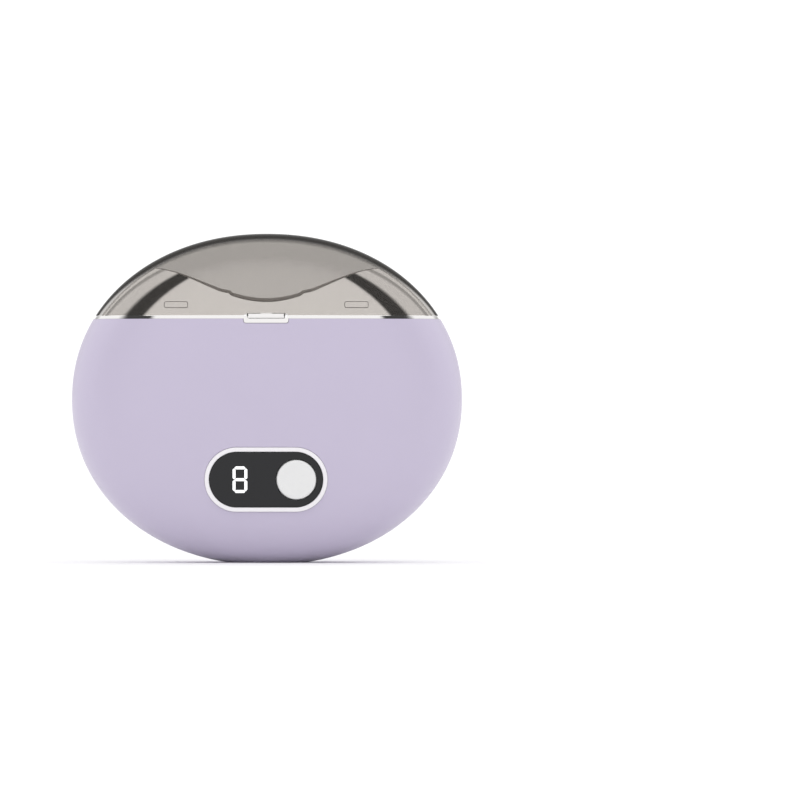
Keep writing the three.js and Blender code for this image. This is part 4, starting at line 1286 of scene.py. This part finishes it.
def finger_guide():
    low, high = corners_of("finger_guide")
    plate = block("finger_pocket", (low.x, GUIDE_FRONT, low.z), (high.x, GUIDE_BACK, high.z))
    deep = POCKET_FLOOR - POCKET_WALL
    wall = 1.1
    bowl_shape = d_outline(INNER_D[0] + wall, INNER_D[1] + 2 * wall, INNER_D[2] + wall)
    lip_shape = d_outline(FINGER_D[0] + wall, FINGER_D[1] + 2 * wall, FINGER_D[2] + wall)
    join(plate, prism("bowl", bowl_shape, deep, GUIDE_BACK - 0.01))
    join(plate, prism("lip", lip_shape, LEDGE - wall, GUIDE_BACK - 0.02))
    outer_tool = d_tool(FINGER_D, LEDGE, 0.5, GUIDE_BACK)
    inner_tool = d_tool(INNER_D, POCKET_FLOOR, 0.4, LEDGE)
    nail_slot = bar_outline(SLOT_HALF, SLOT_RISE, 0, SLOT_Z, 0.3, 6)
    slot = prism("slot", nail_slot, deep - 1, POCKET_FLOOR + 1)
    return cut(plate, outer_tool, inner_tool, slot)


def in_pocket(point, normal):
    """1 on the walls and floors of the pocket, and 0 on the plate round it."""
    depth = POCKET_FLOOR - 0.1 < point.y < GUIDE_BACK - 0.05
    inside = abs(point.x) < FINGER_D[0] + 0.6 and point.z < FINGER_D[2] + 0.05
    return int(depth and inside and normal.y > -0.5)


guide = faced(finger_guide(), [guide_violet, pocket_lavender], in_pocket)
finished(guide, None, "housing", "shell_lavender", "finger_guide")

# %% [markdown]
# ## Toothed wheels and the drum
# The cutting drum, its gear and the motor's pinion are one idea: a cylinder whose radius steps round it
# by a rule. One tree draws all three. It starts from a cylinder with enough sides to hit every corner of
# the tooth, and moves its points in or out by where they are within their tooth.

# %% Toothed wheel tree


def toothed_tree():
    sizes = ["Tip radius", "Depth", "Start", "Length", "Axis Y", "Axis Z", "Land", "Rise", "Fall"]
    kinds = {**{size: "Float" for size in sizes}, "Teeth": "Int", "Sides": "Int"}
    group, tree, given = new_geometry("toothed_wheel", kinds)
    drum = tree.node(
        "GeometryNodeMeshCylinder",
        {"fill_type": "NGON"},
        {"Vertices": given["Sides"], "Radius": 1.0, "Depth": 1.0},
    )
    at = tree.node("ShaderNodeSeparateXYZ", inputs={0: tree.node("GeometryNodeInputPosition")})
    across, up, along = at.named("X"), at.named("Y"), at.named("Z")
    turn = up.math("ARCTAN2", up, across) / (2 * math.pi)
    within = turn.math("FRACT", turn * given["Teeth"] + given["Land"] / 2 + 1000.001)
    falling = tree.node("ShaderNodeMapRange", inputs={0: within, 1: given["Land"], 2: given["Fall"]})
    rising = tree.node("ShaderNodeMapRange", inputs={0: within, 1: given["Rise"], 2: 1.0})
    radius = given["Tip radius"] - given["Depth"] * (falling - rising)
    place = tree.node(
        "ShaderNodeCombineXYZ",
        inputs={
            0: given["Start"] + (along + 0.5) * given["Length"],
            1: given["Axis Y"] + across * radius,
            2: given["Axis Z"] + up * radius,
        },
    )
    moved = tree.node("GeometryNodeSetPosition", inputs={"Geometry": drum, "Position": place})
    close_geometry(tree, moved, given["Finish"])
    return group


toothed_group = toothed_tree()


def toothed(name, node, teeth, depth, shares, sides_per_tooth, bore):
    """A toothed wheel in the place of a frame part, with its bore cut."""
    low, high = corners_of(node)
    centre = (low + high) / 2
    land, fall, rise = shares
    values = {
        "Tip radius": (high.z - low.z) / 2 * MM, "Depth": depth * MM, "Start": low.x * MM,
        "Length": (high.x - low.x) * MM, "Axis Y": centre.y * MM, "Axis Z": centre.z * MM,
        "Land": land, "Fall": fall, "Rise": rise, "Teeth": teeth, "Sides": teeth * sides_per_tooth,
    }
    wheel = grown(name, toothed_group, values)
    return cut(wheel, rod("bore", 0, bore, low.x - 1, high.x + 1, centre))


cutter_drum = toothed("cutting_drum", "cutter_drum", 10, 0.7, (0.35, 0.5, 0.95), 20, 1.2)
finished(cutter_drum, steel, "cutter", "steel", "cutter_drum")
drum_gear = toothed("drum_gear_toothed", "drum_gear", 28, 1.05, (0.22, 0.44, 0.78), 18, 1.2)
finished(drum_gear, nylon, "cutter", "nylon", "drum_gear")
pinion = toothed("motor_pinion_toothed", "motor_pinion", 14, 1.05, (0.22, 0.44, 0.78), 18, 1.2)
finished(pinion, brass, "motor_rotor", "brass", "motor_pinion")

# %% [markdown]
# ## Screws
# Eight pan-head screws hold the parts. They are one screw, put on points: each point carries the
# direction that its screw's head looks in, and Geometry Nodes instance the screw on the points and turn
# it to that direction. The head's slot is cut inside the tree.

# %% Screws


def screw_tree():
    kinds = {name: "Float" for name in ("Head radius", "Head height", "Shank radius", "Shank length", "Slot")}
    group, tree, given = new_geometry("pan_screws", kinds)
    head = tree.node(
        "GeometryNodeMeshCylinder",
        inputs={"Vertices": 40, "Radius": given["Head radius"], "Depth": given["Head height"]},
    )
    lift = tree.node("ShaderNodeCombineXYZ", inputs={2: given["Head height"] / 2})
    raised = tree.node("GeometryNodeTransform", inputs={"Geometry": head, "Translation": lift})
    slot_size = tree.node(
        "ShaderNodeCombineXYZ",
        inputs={0: given["Head radius"] * 3, 1: given["Slot"], 2: given["Head height"]},
    )
    slot = tree.node("GeometryNodeMeshCube", inputs={"Size": slot_size})
    slot_at = tree.node("ShaderNodeCombineXYZ", inputs={2: given["Head height"] * 1.15})
    slot_up = tree.node("GeometryNodeTransform", inputs={"Geometry": slot, "Translation": slot_at})
    slotted = tree.node(
        "GeometryNodeMeshBoolean", {"operation": "DIFFERENCE", "solver": "EXACT"}, {0: raised, 1: slot_up}
    )
    shank = tree.node(
        "GeometryNodeMeshCylinder",
        inputs={"Vertices": 24, "Radius": given["Shank radius"], "Depth": given["Shank length"]},
    )
    sink = tree.node("ShaderNodeCombineXYZ", inputs={2: given["Shank length"] * -0.499})
    sunk = tree.node("GeometryNodeTransform", inputs={"Geometry": shank, "Translation": sink})
    whole = tree.node("GeometryNodeJoinGeometry", inputs={0: sunk})
    tree.owner.links.new(slotted.socket, whole.socket.node.inputs[0])
    way = tree.node("GeometryNodeInputNamedAttribute", {"data_type": "FLOAT_VECTOR"}, {"Name": "outward"})
    turn = tree.node("FunctionNodeAlignRotationToVector", {"axis": "Z"}, {"Vector": way})
    points = tree.node("GeometryNodeMeshToPoints", inputs={0: given["Geometry"]})
    set_out = tree.node(
        "GeometryNodeInstanceOnPoints", inputs={"Points": points, "Instance": whole, "Rotation": turn}
    )
    close_geometry(tree, set_out, given["Finish"])
    return group


screw_group = screw_tree()


def screws(name, nodes, axis, outward, head_radius=1.7, head=1.1):
    """Screws in the places of some frame parts, whose heads look along an axis."""
    lows_highs = [corners_of(node) for node in nodes]
    length = lows_highs[0][1][axis] - lows_highs[0][0][axis] - head
    mesh = bpy.data.meshes.new(name)
    way = [0.0, 0.0, 0.0]
    way[axis] = float(outward)
    seats = []
    for low, high in lows_highs:
        seat = (low + high) / 2
        seat[axis] = high[axis] - head if outward > 0 else low[axis] + head
        seats.append(seat * MM)
    mesh.from_pydata(seats, [], [])
    attribute = mesh.attributes.new("outward", "FLOAT_VECTOR", "POINT")
    for entry in attribute.data:
        entry.vector = way
    values = {
        "Head radius": head_radius * MM, "Head height": head * MM, "Shank radius": 0.75 * MM,
        "Shank length": length * MM, "Slot": 0.5 * MM, "Finish": steel,
    }
    piece = grown(name, screw_group, values, mesh)
    return finished(piece, steel, "housing", "steel", *nodes)


SIDES = ("left", "right")
screws("board_screws", [f"board_screw_{s}" for s in SIDES], 1, 1)
screws("housing_screws", [f"housing_screw_{s}" for s in SIDES], 1, 1)
screws("collar_screws", [f"collar_screw_{s}" for s in SIDES], 2, 1)
screws("motor_screws", [f"motor_screw_{s}" for s in SIDES], 0, -1, head_radius=1.4)

# %% [markdown]
# ## Spring and leads
# A coil spring and four insulated leads follow paths. The spring's path is a spiral, drawn inside its
# tree. The leads' paths are points chosen so that each lead leaves its tag straight and clears its
# neighbours, and their tree smooths the points into a curve and sweeps a round section along it.

# %% Spring and leads


def spring_tree():
    kinds = dict.fromkeys(("Coil radius", "Wire radius", "Length", "Turns"), "Float")
    kinds["Place"] = "Vector"
    group, tree, given = new_geometry("coil_spring", kinds)
    spiral = tree.node(
        "GeometryNodeCurveSpiral",
        inputs={
            "Resolution": 40, "Rotations": given["Turns"], "Start Radius": given["Coil radius"],
            "End Radius": given["Coil radius"], "Height": given["Length"],
        },
    )
    round_wire = {"Resolution": 12, "Radius": given["Wire radius"]}
    section = tree.node("GeometryNodeCurvePrimitiveCircle", inputs=round_wire)
    wire = tree.node(
        "GeometryNodeCurveToMesh", inputs={"Curve": spiral, "Profile Curve": section, "Fill Caps": True}
    )
    laid = tree.node(
        "GeometryNodeTransform",
        inputs={"Geometry": wire, "Rotation": (-math.pi / 2, 0, 0), "Translation": given["Place"]},
    )
    close_geometry(tree, laid, given["Finish"])
    return group


spring_low, spring_high = corners_of("latch_spring")
WIRE = 0.16
spring_centre = (spring_low + spring_high) / 2
spring_values = {
    "Coil radius": ((spring_high.x - spring_low.x) / 2 - WIRE) * MM, "Wire radius": WIRE * MM,
    "Length": (spring_high.y - spring_low.y - 2 * WIRE) * MM, "Turns": 4.0,
    "Place": [spring_centre.x * MM, (spring_low.y + WIRE) * MM, spring_centre.z * MM],
}
spring = grown("latch_coil_spring", spring_tree(), spring_values)
finished(spring, steel, "housing", "steel", "latch_spring")
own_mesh(spring)


def lead_tree():
    group, tree, given = new_geometry("insulated_lead", {"Lead radius": "Float"})
    curve = tree.node("GeometryNodeMeshToCurve", inputs={0: given["Geometry"]})
    smooth = tree.node("GeometryNodeCurveSplineType", {"spline_type": "CATMULL_ROM"}, {"Curve": curve})
    fine = tree.node("GeometryNodeResampleCurve", {"mode": "COUNT"}, {"Curve": smooth, "Count": 60})
    round_lead = {"Resolution": 16, "Radius": given["Lead radius"]}
    section = tree.node("GeometryNodeCurvePrimitiveCircle", inputs=round_lead)
    swept = tree.node(
        "GeometryNodeCurveToMesh", inputs={"Curve": fine, "Profile Curve": section, "Fill Caps": True}
    )
    close_geometry(tree, swept, given["Finish"])
    return group


LEAD_ROUTES = {
    "battery_lead_red": [
        (26.4, 2.4, 26.2), (27.2, -1, 27.6), (25, -6.5, 28.6), (21, -9.4, 28.6), (18.5, -10.9, 28.6),
    ],
    "battery_lead_black": [
        (-25.4, 2.4, 26.2), (-26.4, -1, 27.6), (-24.6, -6.5, 28.6), (-21, -9.4, 28.6), (-18.5, -10.9, 28.6),
    ],
    "motor_lead_red": [
        (47, -4.9, 52), (46.9, -8, 47.6), (42, -11, 42), (33, -10.9, 37.6), (25.6, -10.2, 34.6),
        (21.4, -10.8, 34),
    ],
    "motor_lead_black": [
        (47, 3.1, 52), (46.9, -1.5, 44), (41, -8.6, 38.6), (32, -9.6, 33.6), (25.4, -10, 31.6),
        (21.4, -10.8, 31.4),
    ],
}
LEAD_RADIUS = 0.45
LEAD_FINISH = {"red": red_insulation, "black": black_insulation}
lead_group = lead_tree()
for node, route in LEAD_ROUTES.items():
    path = bpy.data.meshes.new(node)
    path.from_pydata([Vector(p) * MM for p in route], [(i, i + 1) for i in range(len(route) - 1)], [])
    colour = "red" if node.endswith("red") else "black"
    lead = grown(node + "_insulated", lead_group, {"Lead radius": LEAD_RADIUS * MM}, path)
    finished(lead, LEAD_FINISH[colour], "housing", "lead_" + colour, node)

# %% [markdown]
# ## Parts inside that only need softer edges
# The frame's own shapes are right for the motor, the cell, the boards and the housings, but their edges
# are knife sharp. Each gets a copy whose loose triangles are merged, whose flat faces are made whole, and
# whose edges get a small bevel, as moulding and pressing leave them. The copy then stands for the part.

# %% Softened copies
SOFTENED = {
    "switch_plunger": (black_plastic, "power_button", "black_plastic", 0.12),
    "switch_body": (black_plastic, "housing", "black_plastic", 0.15),
    "control_board": (board_green, "housing", "board_green", 0.08),
    "charging_inlet": (steel, "housing", "steel", 0.06),
    "charging_board": (board_green, "housing", "board_green", 0.08),
    "battery_cell": (cell_wrap, "housing", "cell_wrap", 0.5),
    "battery_tab_positive": (steel, "housing", "steel", 0.06),
    "battery_tab_negative": (steel, "housing", "steel", 0.06),
    "cutter_housing": (nylon, "housing", "nylon", 0.2),
    "drum_axle": (steel, "cutter", "steel", 0.15),
    "left_bush": (brass, "housing", "brass", 0.12),
    "right_bush": (brass, "housing", "brass", 0.12),
    "gear_case": (black_plastic, "housing", "black_plastic", 0.2),
    "motor_can": (dark_steel, "housing", "dark_steel", 0.3),
    "motor_end_cap": (black_plastic, "housing", "black_plastic", 0.15),
    "motor_shaft": (steel, "motor_rotor", "steel", 0.12),
}
MERGE = 1e-6
FLAT = math.radians(1)


def softened(node, width):
    """A copy of a frame part with merged points, whole flat faces and bevelled edges."""
    shape = bmesh.new()
    shape.from_mesh(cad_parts[node].data)
    bmesh.ops.remove_doubles(shape, verts=shape.verts, dist=MERGE)
    bmesh.ops.dissolve_limit(shape, angle_limit=FLAT, verts=shape.verts, edges=shape.edges)
    mesh = bpy.data.meshes.new(node + "_soft")
    shape.to_mesh(mesh)
    shape.free()
    piece = add_object(node + "_soft", mesh)
    bevel = piece.modifiers.new("edges", "BEVEL")
    bevel.width = width * MM
    bevel.segments = 2
    bevel.limit_method = "ANGLE"
    bevel.angle_limit = math.radians(40)
    settle(piece)
    return piece


for node, (material, body, slot_name, width) in SOFTENED.items():
    finished(softened(node, width), material, body, slot_name, node)

# %% [markdown]
# ## Floor
# A wide white floor catches the soft shadow under the object. It isn't part of the object.

# %% Floor
FLOOR_HALF = 6000


def floor():
    sheet = block("studio_floor", (-FLOOR_HALF, -FLOOR_HALF, -4), (FLOOR_HALF, FLOOR_HALF, -0.02))
    white = plastic("floor_white", (0.93, 0.93, 0.93), 0.9, 0.0, 0.05, 0.001, 0.0, Specular_IOR_Level=0.0)
    sheet.data.materials.append(white)


floor()
